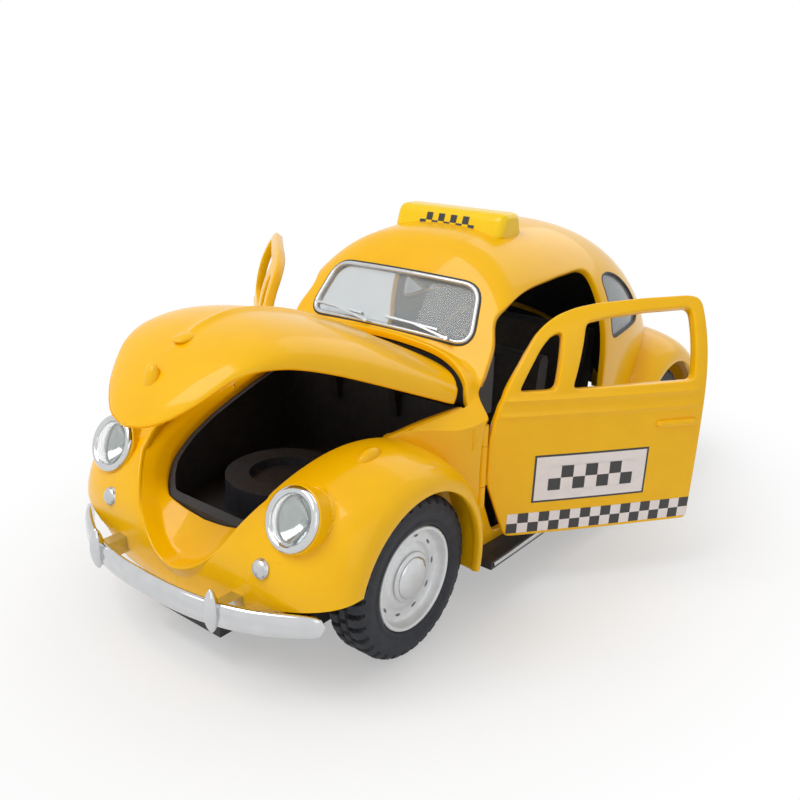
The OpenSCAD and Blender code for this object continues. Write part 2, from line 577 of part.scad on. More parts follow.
module at_tail() scale([1, -1, 1]) at_crown(fender_w / 2 * 0.72, tail_angle, fender_r * 0.9) children();

// Bumpers
bumper_w = fender_w - 2 * bumper_inset;
bumper_wrap = bumper_reach * 2;
bumper_t = bumper_bar * 0.42;
bumper_steps = 16;
section_steps = 12;
over_x = bumper_w * 0.245;
over_r = bumper_bar * 0.3;
over_h = bumper_bar * 1.8;
slot_w = bumper_bar * 0.55;
slot_h = bumper_bar * 0.7;
function bow(u) = bumper_wrap * pow(abs(u), 2.6);
function blunt(c) = sign(c) * pow(abs(c), 0.8);
function bumper_ring(u) = let (dx = bumper_w / 2, dy = 2.6 * bumper_wrap * pow(abs(u), 1.6) * sign(u),
    d = norm([dx, dy]), k = 1 - 0.5 * pow(abs(u), 12))
    [for (j = [0 : section_steps - 1]) let (a = 360 * j / section_steps, o = bumper_t / 2 * blunt(cos(a)) * k)
        [bumper_w / 2 * u + o * dy / d, bow(u) - o * dx / d, bumper_bar / 2 * blunt(sin(a)) * k]];
module bumper(reach) cast() translate([0, -reach - bumper_reach, up(bumper_h)]) {
    loft([for (i = [0 : bumper_steps]) bumper_ring(2 * i / bumper_steps - 1)]);
    both_sides() translate([over_x, bow(2 * over_x / bumper_w) - bumper_t / 2, 0]) {
        translate([0, 0, -over_h / 2 + bumper_bar * 0.2]) rotate_extrude($fn = 20) polygon(concat([[0, 0]],
            [for (i = [1 : 7]) [over_r * pow(sin(22.5 * i), 0.6), over_h * i / 8]], [[0, over_h]]));
        translate([-slot_w / 2, bumper_t * 0.45, -slot_h / 2])
            cube([slot_w, bumper_reach + 2.4 * wall, slot_h]);
    }
}
module bumper_slots(reach) both_sides()
    translate([over_x - slot_w / 2 - fit, -reach - bumper_reach, up(bumper_h) - slot_h / 2 - fit])
    cube([slot_w + 2 * fit, bumper_reach + 6 * wall, slot_h + 2 * fit]);

// Roof sign
sign_y_share = 0.4;
sign_foot_share = 0.955;
// Sign's end outline: shares of its depth, with shares of its height
sign_end_shares = [[-0.5, -0.25], [0.5, -0.25], [0.36, 1], [-0.3, 1]];
module sign_block() intersection() {
    translate([-sign_len / 2, 0, 0]) side_prism(sign_len)
        translate([cabin_y(sign_y_share), up(roof_h * sign_foot_share)])
        rounded(sign_h / 6) polygon([for (p = sign_end_shares) [p[0] * sign_d, p[1] * sign_h]]);
    linear_extrude(height = far) translate([-sign_len / 2, cabin_y(sign_y_share) - sign_d / 2])
        rounded(sign_d / 4) square([sign_len, sign_d]);
}

// Cabin fittings
floor_z = base_mid_t;
floor_t = wall * 0.8;
seat_w = body_w * 0.29;
seat_x = body_w * 0.2;
seat_d = door_len * 0.3;
seat_h = (belt_h - sill_h) * 0.34;
back_h = (belt_h - sill_h) * 1.05;
back_t = seat_d * 0.28;
module seat_block(w) translate([-w / 2, 0, 0]) side_prism(w) rounded(back_t / 3) polygon([[0, 0],
    [seat_d + back_t, 0], [seat_d + 1.7 * back_t, back_h], [seat_d + 0.7 * back_t, back_h],
    [seat_d, seat_h], [0, seat_h]]);
front_seat_y = -door_front + door_len * 0.38;
rear_seat_y = door_len - door_front + wall;
dash_back = screen_foot - 2.5 * wall;
dash_front = screen_foot + wall / 2;
wheel_ring_r = body_w * 0.09;
wheel_ring_t = wall * 0.35;
module at_steering() translate([seat_x, -dash_back + 3 * wall, up(cowl_h) - 6 * wall])
    rotate([-60, 0, 0]) children();

module body_shell() color("gold") cast() difference() {
    union() {
        difference() {
            union() {
                cabin_solid();
                both_sides() {
                    fender(front_crown_shares, front_inner_shares);
                    scale([1, -1, 1]) fender(rear_crown_shares, rear_inner_shares);
                }
            }
            cabin_hollow();
            linear_extrude(height = far) offset(delta = wall / 4) bay_plan();
            hood_space();
            both_sides() for (e = [-1, 1]) translate([well_in, e * wheelbase / 2, axle_z])
                rotate([0, 90, 0]) cylinder(h = far, r = well_r, $fn = 32);
        }
        collar();
        both_sides() {
            at_lamp() translate([0, 0, -lamp_back]) cylinder(h = lamp_back + wall, r = lamp_r, $fn = 24);
            at_crown(fender_w * 0.36, 100, fender_r * 0.895) scale([0.5, 1, 0.5])
                sphere(r = lamp_r * 0.5, $fn = 14);
        }
        for (y = posts) translate([0, y, base_t]) cylinder(h = post_top(y) - base_t, r = post_r, $fn = 16);
    }
    both_sides() {
        intersection() {
            side_prism() offset(delta = door_gap) door_outline(2 * hinge_gap - door_gap);
            door_region(door_gap);
        }
        quarter_prism();
        for (i = [0, 2]) hinge_tab(i, -1, run_gap);
        translate([hinge_x, hinge_y, barrel_z(0) - 3 * run_gap])
            cylinder(h = barrel_z(3) - barrel_z(0) + 6 * run_gap, r = hinge_gap + run_gap, $fn = 24);
        at_horn() cylinder(h = far, r = horn_r + fit, $fn = 24);
        at_tail() cylinder(h = far, r = tail_r + fit, $fn = 24);
        at_lamp() cylinder(h = lamp_r, r = lamp_r * 1.06, $fn = 24);
    }
    translate([0, 0, -hood_seat_gap]) sheet(hood_grid(-hood_seat_gap), hood_grid(hood_wall + hood_seat_gap));
    screen_prism();
    rear_prism();
    bumper_slots(nose_reach);
    scale([1, -1, 1]) bumper_slots(tail_reach);
    for (e = [-1, 1]) translate([0, e * wheelbase / 2, axle_z]) across(far, axle_r + 4 * run_gap);
    for (y = posts) translate([0, y, 0])
        cylinder(h = base_t + screw_bite + run_gap, r = screw_r + run_gap, $fn = 16);
}
function post_top(y) = y < 0 ? up(apron_h) + wall
    : up(roof_h * curve_at(roof_line_shares, cabin_at(y + post_r))) - wall / 2;

// Grip on the hood's nose: share of the hood's length, then its three half sizes in headlamp radii
grip_at_share = 0.036;
grip_shares = [0.28, 0.2, 0.42];
module hood_panel() color("orange") swing_hood() cast() {
    hood_skin();
    translate(hood_point(grip_at_share, 90, 0)) scale(grip_shares) sphere(r = lamp_r, $fn = 16);
}
module hood_hinge_arms() color("dimgray") swing_hood() difference() {
    union() {
        translate([-arm_half, -hood_axis - 5 * hood_barrel_r, hood_axis_z + hood_barrel_r * 0.3])
            cube([2 * arm_half, 5 * hood_barrel_r, hood_barrel_r * 0.7]);
        for (s = lateral) translate([s * (arm_half - hood_barrel_r), -hood_axis, hood_axis_z])
            across(2 * hood_barrel_r, hood_barrel_r);
    }
    translate([0, -hood_axis, hood_axis_z]) across(far, hood_pin_r + run_gap);
}
arm_half = 6.6 * hood_barrel_r;
ear_half = arm_half + hood_barrel_r / 4;
ear_t = 1.6 * hood_barrel_r;
module hood_hinge_bracket() color("dimgray") difference() {
    for (s = lateral) translate([s > 0 ? ear_half : -ear_half - ear_t, 0, 0]) {
        translate([ear_t / 2, -hood_axis, hood_axis_z]) across(ear_t, hood_barrel_r);
        side_prism(ear_t) polygon([[-hood_axis - hood_barrel_r * 0.8, hood_axis_z - hood_barrel_r * 0.6],
            [-hood_axis + hood_barrel_r * 0.9, hood_axis_z + hood_barrel_r * 0.3],
            [-hood_rear - fit - tray_t, up(bay_z(1)) - tray_t],
            [-hood_rear - fit - tray_t, up(bay_z(1)) - 5 * tray_t],
            [-hood_rear - 2 * tray_t, up(bay_z(1)) - 5 * tray_t]]);
    }
    translate([0, -hood_axis, hood_axis_z]) across(far, hood_pin_r);
}
tray_t = wall * 0.7;
module hood_hinge_pin() color("silver") translate([0, -hood_axis, hood_axis_z])
    across(2 * (ear_half + ear_t), hood_pin_r);

module door_left() color("gold") swing_left() door_skin();
module door_knuckle_left() color("dimgray") swing_left() door_barrel(1, 1, door_pin_r + run_gap);
module door_hinge_posts_left() color("dimgray") for (i = [0, 2]) door_barrel(i, -1, door_pin_r);
module door_pin() translate([hinge_x, hinge_y, barrel_z(0) + run_gap])
    cylinder(h = barrel_z(3) - barrel_z(0) - 2 * run_gap, r = door_pin_r, $fn = 32);
module door_hinge_pin_left() color("silver") door_pin();
module door_right() color("gold") swing_right() door_skin();
module door_knuckle_right() color("dimgray") swing_right() door_barrel(1, 1, door_pin_r + run_gap);
module door_hinge_posts_right() color("dimgray") scale([-1, 1, 1])
    for (i = [0, 2]) door_barrel(i, -1, door_pin_r);
module door_hinge_pin_right() color("silver") scale([-1, 1, 1]) door_pin();

module windscreen_pane() color("lightblue") pane() screen_prism(-fit);
module windscreen_frame() color("silver") cast() difference() {
    intersection() {
        cabin_skin(-frame_w * frame_rise_share, -fit);
        screen_prism(frame_w);
    }
    screen_prism();
}
module wiper(places) {
    pivot = on_glass(places[0]);
    base = frame_w * frame_rise_share * cos(atan(screen_rise)) - screen_back(pivot[0]) + 8 * fit;
    translate([pivot[0], pivot[1], base]) cylinder(h = wiper_lift + wiper_t - base, r = wiper_t, $fn = 24);
    translate([0, 0, wiper_lift]) strip(pivot, on_glass(places[1]), wiper_t);
    translate([0, 0, wiper_t / 2]) strip(on_glass(places[2]), on_glass(places[3]), wiper_lift);
}
module wipers() color("silver") on_screen() for (places = wiper_shares) wiper(places);
module quarter_pane_left() color("lightblue") pane() quarter_prism(-fit);
module quarter_pane_right() color("lightblue") scale([-1, 1, 1]) quarter_pane_left();
module rear_pane() color("lightblue") pane() rear_prism(-fit);
// Bezel's section: shares of its width inward from the lamp's edge, with shares of its width forward
bezel_shares = [[1, 0], [0, 0], [0, 0.5], [0.3, 0.95], [0.7, 0.95], [1, 0.6]];
module headlamp_bezels() color("silver") both_sides() at_lamp() rotate_extrude($fn = 48)
    polygon([for (p = bezel_shares) [lamp_r - p[0] * bezel_w, p[1] * bezel_w]]);
module headlamp_lenses() color("lightblue") both_sides() at_lamp()
    dome(lamp_r - bezel_w - fit, bezel_w * 1.2, 48);
module horn_grilles() color("silver") both_sides() at_horn() dome(horn_r, horn_r, 32);
module tail_lamps() color("red") both_sides() at_tail() dome(tail_r, tail_r * 1.6, 32);
module front_bumper() color("silver") bumper(nose_reach);
module rear_bumper() color("silver") scale([1, -1, 1]) bumper(tail_reach);
module roof_sign() color("yellow") cast() difference() {
    sign_block();
    cabin_solid(-fit);
}
board_top = up(sill_h) - fit;
board_t = wall;
module running_board_left() color("dimgray")
    translate([base_mid_half + fit, -mid_run / 2, board_top - board_t])
    cube([fender_w / 2 - base_mid_half - wall / 3, mid_run, board_t]);
module running_board_right() color("dimgray") scale([-1, 1, 1]) running_board_left();
module base_plate() color("dimgray") difference() {
    union() {
        plank(base_half, -wheelbase / 2 - arch_r, base_rear, base_t);
        plank(base_half / 2, -base_front, -wheelbase / 2, base_t);
        plank(base_mid_half, -mid_run / 2, mid_run / 2, base_mid_t);
        for (e = [-1, 1]) translate([-bearing_half, e * wheelbase / 2 - bearing_d / 2, 0])
            cube([2 * bearing_half, bearing_d, axle_z + 2.4 * axle_r]);
    }
    for (e = [-1, 1]) translate([0, e * wheelbase / 2, axle_z]) across(far, axle_r + run_gap);
    for (y = posts) translate([0, y, -over]) {
        cylinder(h = base_t + 2 * over, r = screw_r, $fn = 32);
        cylinder(h = over + head_t + 2 * run_gap, r = head_r + run_gap, $fn = 32);
    }
}
module base_screws() color("silver") for (y = posts) translate([0, y, 2 * run_gap]) {
    cylinder(h = base_t + screw_bite - 2 * run_gap, r = screw_r, $fn = 32);
    cylinder(h = head_t, r = head_r, $fn = 32);
}
exhaust_r = base_t * 0.42;
exhaust_run = tail_reach + bumper_reach - base_rear;
module exhaust_tips() color("silver") for (s = lateral)
    translate([s * bearing_half * 0.6, base_rear, base_t / 2]) rotate([-90, 0, 0]) difference() {
        cylinder(h = exhaust_run, r = exhaust_r, $fn = 32);
        translate([0, 0, exhaust_run / 2]) cylinder(h = far, r = exhaust_r * 0.7, $fn = 32);
    }
tray_floor = axle_z + 2.4 * axle_r + wall / 2;
tray_shares = [-0.1, 0.03, 0.08, 0.15, 0.27, 0.4, 0.55, 0.7, 0.85, 1.1];
module bay_tray() color("dimgray") cast() difference() {
    intersection() {
        translate([0, 0, tray_floor]) linear_extrude(height = far) offset(delta = -fit) bay_plan();
        loft([for (t = tray_shares) let (y = run_y(t), z = up(bay_z(t)) - wall / 2)
            [[far, y, 0], [far, y, z], [-far, y, z], [-far, y, 0]]]);
    }
    translate([0, 0, tray_floor + tray_t]) linear_extrude(height = far)
        offset(delta = -fit - tray_t) bay_plan();
}
spare_r = tyre_r * 0.75;
module spare_wheel() color("dimgray") translate([0, -wheelbase / 2, tray_floor + tray_t]) difference() {
    cylinder(h = tyre_w * 0.7, r = spare_r, $fn = 48);
    translate([0, 0, tyre_w * 0.5]) cylinder(h = tyre_w, r = spare_r * 0.6, $fn = 48);
}
tub_half = base_mid_half - wall;
tub_run = wheelbase / 2 - bearing_d / 2 - wall / 4 + dash_back;
module cabin_tub() color("dimgray") cast() difference() {
    intersection() {
        cabin_solid(door_wall + 2 * fit);
        translate([-far / 2, -dash_back, floor_z]) cube([far, tub_run, seat_h]);
    }
    translate([-tub_half, -dash_back - over, floor_z + floor_t]) cube([2 * tub_half, tub_run, far]);
    both_sides() translate([well_in - wall, wheelbase / 2, axle_z]) rotate([0, 90, 0])
        cylinder(h = far, r = well_r + wall, $fn = 48);
}
module dashboard() color("dimgray") cast() intersection() {
    cabin_solid(wall + 3 * fit);
    translate([-hood_w / 2 + wall, -dash_front, up(belt_h) - wall])
        cube([hood_w - 2 * wall, dash_front - dash_back, cowl_h - belt_h]);
}
module steering_wheel() color("dimgray") at_steering() {
    rotate_extrude($fn = 40) translate([wheel_ring_r, 0]) circle(r = wheel_ring_t, $fn = 16);
    for (a = [0, 120, 240]) rotate([0, 0, a]) translate([0, -wheel_ring_t, -wheel_ring_t / 2])
        cube([wheel_ring_r, 2 * wheel_ring_t, wheel_ring_t]);
    translate([0, 0, -3 * wall]) cylinder(h = 3 * wall, r = wheel_ring_t * 1.6, $fn = 24);
}
module front_seat(s) translate([s * seat_x, front_seat_y, floor_z + floor_t]) seat_block(seat_w);
module front_seat_left() color("dimgray") front_seat(1);
module front_seat_right() color("dimgray") front_seat(-1);
module rear_seat() color("dimgray") translate([0, rear_seat_y, floor_z + floor_t]) seat_block(2 * seat_w);
module front_axle() color("silver") axle_rod(-1);
module rear_axle() color("silver") axle_rod(1);
module tyre_front_left() color("dimgray") at_wheel(1, -1) tyre_ring();
module rim_front_left() color("silver") at_wheel(1, -1) rim_dish();
module cap_front_left() color("silver") at_wheel(1, -1) cap_dome();
module tyre_front_right() color("dimgray") at_wheel(-1, -1) tyre_ring();
module rim_front_right() color("silver") at_wheel(-1, -1) rim_dish();
module cap_front_right() color("silver") at_wheel(-1, -1) cap_dome();
module tyre_rear_left() color("dimgray") at_wheel(1, 1) tyre_ring();
module rim_rear_left() color("silver") at_wheel(1, 1) rim_dish();
module cap_rear_left() color("silver") at_wheel(1, 1) cap_dome();
module tyre_rear_right() color("dimgray") at_wheel(-1, 1) tyre_ring();
module rim_rear_right() color("silver") at_wheel(-1, 1) rim_dish();
module cap_rear_right() color("silver") at_wheel(-1, 1) cap_dome();

body_shell();
hood_panel();
hood_hinge_arms();
hood_hinge_bracket();
hood_hinge_pin();
door_left();
door_knuckle_left();
door_hinge_posts_left();
door_hinge_pin_left();
door_right();
door_knuckle_right();
door_hinge_posts_right();
door_hinge_pin_right();
windscreen_pane();
windscreen_frame();
wipers();
quarter_pane_left();
quarter_pane_right();
rear_pane();
headlamp_bezels();
headlamp_lenses();
horn_grilles();
tail_lamps();
front_bumper();
rear_bumper();
roof_sign();
running_board_left();
running_board_right();
base_plate();
base_screws();
exhaust_tips();
bay_tray();
spare_wheel();
cabin_tub();
dashboard();
steering_wheel();
front_seat_left();
front_seat_right();
rear_seat();
front_axle();
rear_axle();
tyre_front_left();
rim_front_left();
cap_front_left();
tyre_front_right();
rim_front_right();
cap_front_right();
tyre_rear_left();
rim_rear_left();
cap_rear_left();
tyre_rear_right();
rim_rear_right();
cap_rear_right();
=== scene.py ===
import math
import bpy
import numpy as np
from mathutils import Matrix, Vector
from mathutils.geometry import delaunay_2d_cdt


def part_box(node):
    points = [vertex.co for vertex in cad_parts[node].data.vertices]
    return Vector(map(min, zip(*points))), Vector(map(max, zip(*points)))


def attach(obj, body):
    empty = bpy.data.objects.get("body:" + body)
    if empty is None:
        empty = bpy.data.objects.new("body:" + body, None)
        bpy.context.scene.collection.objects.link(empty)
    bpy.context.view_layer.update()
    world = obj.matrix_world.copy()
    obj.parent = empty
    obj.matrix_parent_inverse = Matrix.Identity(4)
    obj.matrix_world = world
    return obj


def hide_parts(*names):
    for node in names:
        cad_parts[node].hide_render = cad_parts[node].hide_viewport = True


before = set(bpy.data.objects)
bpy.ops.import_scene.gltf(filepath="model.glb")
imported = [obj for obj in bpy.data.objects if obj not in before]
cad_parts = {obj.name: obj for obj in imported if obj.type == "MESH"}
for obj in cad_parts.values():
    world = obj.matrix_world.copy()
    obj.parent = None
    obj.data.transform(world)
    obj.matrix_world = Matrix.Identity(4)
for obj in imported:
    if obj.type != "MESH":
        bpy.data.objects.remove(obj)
scene = bpy.context.scene
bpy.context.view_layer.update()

# Sizes in millimetres, heights above the ground
MM = 0.001
RIDE = 5.0
WALL = 1.2
BODY_W, ROOF_H, BELT_H, SILL_H = 45.0, 49.6, 27.0, 7.6
CABIN_LEAD, TAIL = 33.0, 55.0
CABIN_RUN = CABIN_LEAD + TAIL
NOSE, HOOD_REAR, HOOD_W, COWL_H = 56.2, 18.2, 38.8, 35.4
HOOD_RUN = NOSE - HOOD_REAR
HOOD_ROUND, HOOD_BOW, SHOULDER_FALL = 2.2, 3.0, 0.62
TIP_SHARE, BOW_SHARE, SILL_TUCK_SHARE = 0.006, 1.25, 0.03
SCREEN_FOOT, SCREEN_RISE, SCREEN_BOW, BROW = 16.3, 1.5, 1.0, 4.0
WHEELBASE, TRACK, TYRE_R, TYRE_W, RIM_R, CAP_R = 73.0, 40.6, 10.9, 6.0, 7.0, 3.4
FENDER_W, FENDER_R, ARCH_R, ARCH_LEAD, ARCH_LIFT = 50.6, 18.6, 12.5, 0.9, 0.2
FENDER_ROUND = 2.3
DOOR_FRONT, DOOR_LEN, DOOR_FOOT, DOOR_TOP = 19.3, 32.4, 9.2, 42.7
DOOR_HIGH = DOOR_TOP - DOOR_FOOT
DOOR_GAP, DOOR_WALL, LEFT_OPEN, RIGHT_OPEN = 0.35, 1.6, 36, 48
HINGE_X, HINGE_Y = 21.4646, -19.98
HOOD_OPEN, HOOD_AXIS, HOOD_AXIS_H = 29, 21.0, 33.1
LAMP_R, LAMP_LEAN, LAMP_SPAN, LAMP_H = 3.85, 25, 34.0, 23.0
BUMPER_W, BUMPER_REACH, BUMPER_H, BUMPER_BAR = 45.4, 3.6, 11.7, 3.2
CABIN_MIDDLE = (0, 8, 15)
STEP = 0.6
SQUARE = ((-1, -1), (1, -1), (1, 1), (-1, 1))


# Smooth curves and surfaces
def unit(v):
    return v / np.maximum(np.linalg.norm(v, axis=1), 1e-12)[:, None]


def search(lo, hi, low, steps=44):
    """Closes in from both ends on the place where low stops holding."""
    for _ in range(steps):
        mid = (lo + hi) / 2
        below = low(mid)
        lo, hi = np.where(below, mid, lo), np.where(below, hi, mid)
    return lo, hi


def curve(xs, ys):
    xs, ys = np.array(xs, float), np.array(ys, float)
    d = np.diff(ys) / np.diff(xs)
    m = np.concatenate([d[:1], np.zeros(len(d) - 1), d[-1:]])
    for i in range(1, len(d)):
        if d[i - 1] * d[i] > 0:
            m[i] = 2 * d[i - 1] * d[i] / (d[i - 1] + d[i])

    def at(s):
        s = np.asarray(s, float)
        i = np.searchsorted(xs[1:-1], s, side="left")
        h = xs[i + 1] - xs[i]
        t = np.clip((s - xs[i]) / h, 0, 1)
        return ((1 + 2 * t) * (1 - t) ** 2 * ys[i] + t * (1 - t) ** 2 * m[i] * h
                + t * t * (3 - 2 * t) * ys[i + 1] + t * t * (t - 1) * m[i + 1] * h)
    return at


roof_line = curve([0, 0.15, 0.24, 0.307, 0.375, 0.432, 0.489, 0.557, 0.625, 0.693, 0.761, 0.83, 0.898,
                   0.943, 0.977, 0.994, 1],
                  [0.9, 0.93, 0.957, 0.98, 0.995, 1, 0.998, 0.99, 0.97, 0.935, 0.88, 0.795, 0.67, 0.545,
                   0.405, 0.28, 0.21])
belt_width = curve([0, 0.057, 0.102, 0.148, 0.24, 0.375, 0.48, 0.557, 0.64, 0.73, 0.82, 0.898, 0.943, 0.977,
                    0.994, 1],
                   [0.69, 0.82, 0.925, 0.97, 0.99, 1, 1, 0.993, 0.97, 0.915, 0.82, 0.68, 0.55, 0.4, 0.24,
                    0.12])
belt_height = curve([0, 0.53, 0.65, 0.74, 0.83, 0.91, 0.975, 1], [1, 1, 0.97, 0.9, 0.77, 0.58, 0.43, 0.37])
roundness = curve([0, 0.375, 0.65, 1], [2.2, 2.45, 2.4, 2])
HOOD_T = [0, 0.0105, 0.026, 0.053, 0.097, 0.163, 0.268, 0.426, 0.584, 0.742, 0.9, 1, 1.3]
hood_crown = curve(HOOD_T, [0.367, 0.43, 0.508, 0.6, 0.695, 0.78, 0.859, 0.921, 0.958, 0.981, 0.995, 1,
                            1.003])
hood_width = curve(HOOD_T, [0, 0.155, 0.273, 0.4, 0.515, 0.593, 0.655, 0.722, 0.784, 0.851, 0.928, 0.98,
                            1.06])
hood_edge = curve(HOOD_T, [0.367, 0.395, 0.44, 0.517, 0.621, 0.684, 0.729, 0.763, 0.785, 0.805, 0.825,
                           0.836, 0.845])
bay_edge = curve([0, 0.053, 0.163, 0.43, 0.9, 1.3], [0.485, 0.52, 0.622, 0.718, 0.79, 0.8])
CROWN_A = [-14, 0, 20, 50, 90, 115, 140, 160, 171]
front_crown = curve(CROWN_A, [0.75, 0.75, 0.785, 0.87, 0.915, 0.955, 1, 1.005, 0.99])
rear_crown = curve(CROWN_A, [0.75, 0.75, 0.785, 0.87, 0.93, 0.95, 0.97, 0.96, 0.935])
front_inner = curve([-14, 20, 60, 90, 140, 160, 172, 180, 190],
                    [0.78, 0.68, 0.52, 0.45, 0.31, 0.21, 0.1, -0.02, -0.02])
rear_inner = curve([-14, 20, 60, 90, 115, 140, 171], [0.78, 0.68, 0.5, 0.4, 0.32, 0.2, 0.06])
SIDE_SHARE = 0.35
GIRTH = 57.0


def hood_half(t):
    return HOOD_W / 2 * hood_width(t)


def blunt_edge(t):
    """Height of the hood's edge, its tip rounded off."""
    return COWL_H * hood_edge(np.hypot(t, TIP_SHARE))


def hood_at(y):
    return np.clip((y + NOSE) / HOOD_RUN, 0, 1.3)


def deck_z(x, y):
    t = hood_at(y)
    w, e, c = hood_half(t), COWL_H * hood_edge(t), COWL_H * hood_crown(t)
    a = np.clip(np.abs(x) / np.maximum(w, 1e-6), 0, 1)
    dome = e + (c - e) * (1 - a ** HOOD_ROUND) ** (1 / HOOD_ROUND)
    return np.where(np.abs(x) < w, dome, e - (np.abs(x) - w) * SHOULDER_FALL)


def top_z(x, y, z):
    bowed = SCREEN_BOW * (2 * x / HOOD_W * BOW_SHARE) ** 2
    screen = COWL_H + SCREEN_RISE * (y + SCREEN_FOOT - bowed)
    h = np.maximum(BROW - np.abs(z - screen), 0) / BROW
    cowl = deck_z(x, y) - np.maximum(0, y + SCREEN_FOOT) * SCREEN_RISE / 2
    return np.maximum(cowl, np.minimum(z, screen) - h * h * BROW / 4)


def section(y, q, plain=False):
    """Half width and height of the cabin at y, q running from the sill (0) to the middle of the roof (1)."""
    t = np.clip((y + CABIN_LEAD) / CABIN_RUN, 0, 1)
    w, r = BODY_W / 2 * belt_width(t), ROOF_H * roof_line(t)
    b = np.minimum(BELT_H * belt_height(t), r - WALL)
    n = roundness(t)
    a = (np.clip(q, SIDE_SHARE, 1) - SIDE_SHARE) / (1 - SIDE_SHARE) * math.pi / 2
    x = w * np.maximum(np.cos(a), 0) ** (2 / n)
    z = b + (r - b) * np.sin(a) ** (2 / n)
    if not plain:
        z, b = top_z(x, y, z), top_z(w, y, b)
    k = q / SIDE_SHARE
    low = q < SIDE_SHARE
    foot = w * (1 - SILL_TUCK_SHARE * (1 - k) ** 2)
    return np.where(low, foot, x), np.where(low, SILL_H + (b - SILL_H) * k, z)


def q_of_z(y, z, plain=False):
    lo, hi = np.full(np.shape(y), -0.6), np.ones(np.shape(y))
    return search(lo, hi, lambda q: section(y, q, plain)[1] < z)[0]


def q_of_x(y, x):
    t = np.clip((y + CABIN_LEAD) / CABIN_RUN, 0, 1)
    share = np.clip(np.abs(x) / (BODY_W / 2 * belt_width(t)), 0, 1)
    return SIDE_SHARE + (1 - SIDE_SHARE) * np.arccos(share ** (roundness(t) / 2)) / (math.pi / 2)


def roof_z(x, y):
    return section(y, q_of_x(y, x))[1]


def cabin(p):
    """Points of the cabin's skin from a plan of length and of girth from the roof's middle."""
    y, s = p.T
    x, z = section(y, 1 - np.abs(s) / GIRTH)
    return np.stack([x * np.sign(s), y, z], 1)


def side(p):
    """Points of the left side from length and height, as it runs without the windscreen's slope."""
    y, z = p.T
    return np.stack([section(y, q_of_z(y, z, True), True)[0], y, z], 1)


def normals_of(fn, p):
    e = 0.04
    du = fn(p + [e, 0]) - fn(p - [e, 0])
    dv = fn(p + [0, e]) - fn(p - [0, e])
    return unit(np.cross(du, dv))


# Outlines
def fillet(poly, r, steps):
    p = np.array(poly, float)
    out = []
    for i in range(len(p)):
        a, b, c = p[i - 1], p[i], p[(i + 1) % len(p)]
        u, v = a - b, c - b
        du, dv = np.linalg.norm(u), np.linalg.norm(v)
        d = min(r, 0.48 * du, 0.48 * dv)
        t = np.linspace(0, 1, steps)[:, None]
        out.append((1 - t) ** 2 * (b + u / du * d) + 2 * t * (1 - t) * b + t * t * (b + v / dv * d))
    return np.concatenate(out)


def grow(poly, d):
    p = np.array(poly, float)
    x, y = p.T
    area = np.sum(x * np.roll(y, -1) - np.roll(x, -1) * y)
    e = np.roll(p, -1, 0) - p
    n = unit(np.stack([e[:, 1], -e[:, 0]], 1) * np.sign(area))
    m = unit(n + np.roll(n, 1, 0))
    return p + m * (d / np.maximum(np.sum(m * n, 1), 0.4))[:, None]


def resample(poly, step):
    p = np.array(poly, float)
    out = []
    for a, b in zip(p, np.roll(p, -1, 0)):
        k = max(1, int(math.ceil(np.linalg.norm(b - a) / step)))
        out += [a + (b - a) * i / k for i in range(k)]
    out = np.array(out)
    keep = np.linalg.norm(out - np.roll(out, 1, 0), axis=1) > step * 0.12
    return out[keep]


def rounded(poly, r, ease, step=STEP, steps=7):
    return resample(grow(fillet(poly, r, steps), ease), step)


def inside(p, poly):
    hit = np.zeros(len(p), bool)
    x, y = p.T
    for a, b in zip(poly, np.roll(poly, -1, 0)):
        if a[1] == b[1]:
            continue
        cross = (a[1] > y) != (b[1] > y)
        hit ^= cross & (x < (b[0] - a[0]) * (y - a[1]) / (b[1] - a[1]) + a[0])
    return hit


def door_at(p, lead=0.0):
    """A place on the door from its shares, with its front edge moved forward by the lead."""
    ease = max(0, 1 - p[0] / LEAD_SHARE)
    return [p[0] * DOOR_LEN - DOOR_FRONT - lead * ease, DOOR_FOOT + p[1] * DOOR_HIGH]


LEAD_SHARE = 0.05
DOOR_SHARES = [[0.1, 0], [1, 0], [1, 0.965], [0.985, 0.99], [0.94, 1], [0.72, 0.997], [0.5, 0.984],
               [0.4, 0.969], [0.32, 0.946], [0.26, 0.916], [0.207, 0.875], [0.155, 0.807], [0.107, 0.735],
               [0.07, 0.672], [0.04, 0.6], [0.015, 0.52], [0, 0.46], [0, 0.26]]
VENT_SHARES = [[0.118, 0.65], [0.285, 0.65], [0.322, 0.88], [0.272, 0.866], [0.22, 0.818], [0.165, 0.735]]
MAIN_SHARES = [[0.358, 0.65], [0.935, 0.655], [0.94, 0.953], [0.72, 0.947], [0.53, 0.93], [0.432, 0.912]]
QUARTER_SHARES = [[0.02, 0.2], [0.86, 0.23], [0.97, 0.28], [1, 0.34], [0.84, 0.48], [0.58, 0.585],
                  [0.3, 0.635], [0.03, 0.62]]
INNER_SHARES = [0.87, 0.85, 0.68]
QUARTER_Y, QUARTER_LEN = DOOR_LEN - DOOR_FRONT + 0.08 * DOOR_LEN, 14.0


def region_x(z, ease):
    """Inner limit of the door's side of the cabin at a height."""
    heights = [BELT_H + 2 * WALL, (BELT_H + DOOR_TOP) / 2 + WALL, DOOR_TOP]
    return BODY_W / 2 * np.interp(z, heights, INNER_SHARES) - ease


def on_side(poly, sign, limit=None):
    """A side outline as a plan of length and girth."""
    ys, zs = np.array(poly, float).T
    q = q_of_z(ys, zs)
    if limit is not None:
        qs = np.linspace(0.1, 1, 240)
        for i, y in enumerate(ys):
            x, z = section(np.full(len(qs), y), qs)
            past = np.nonzero(x < region_x(z, limit))[0]
            if len(past):
                q[i] = min(q[i], qs[past[0]])
    return np.stack([ys, sign * GIRTH * (1 - q)], 1)


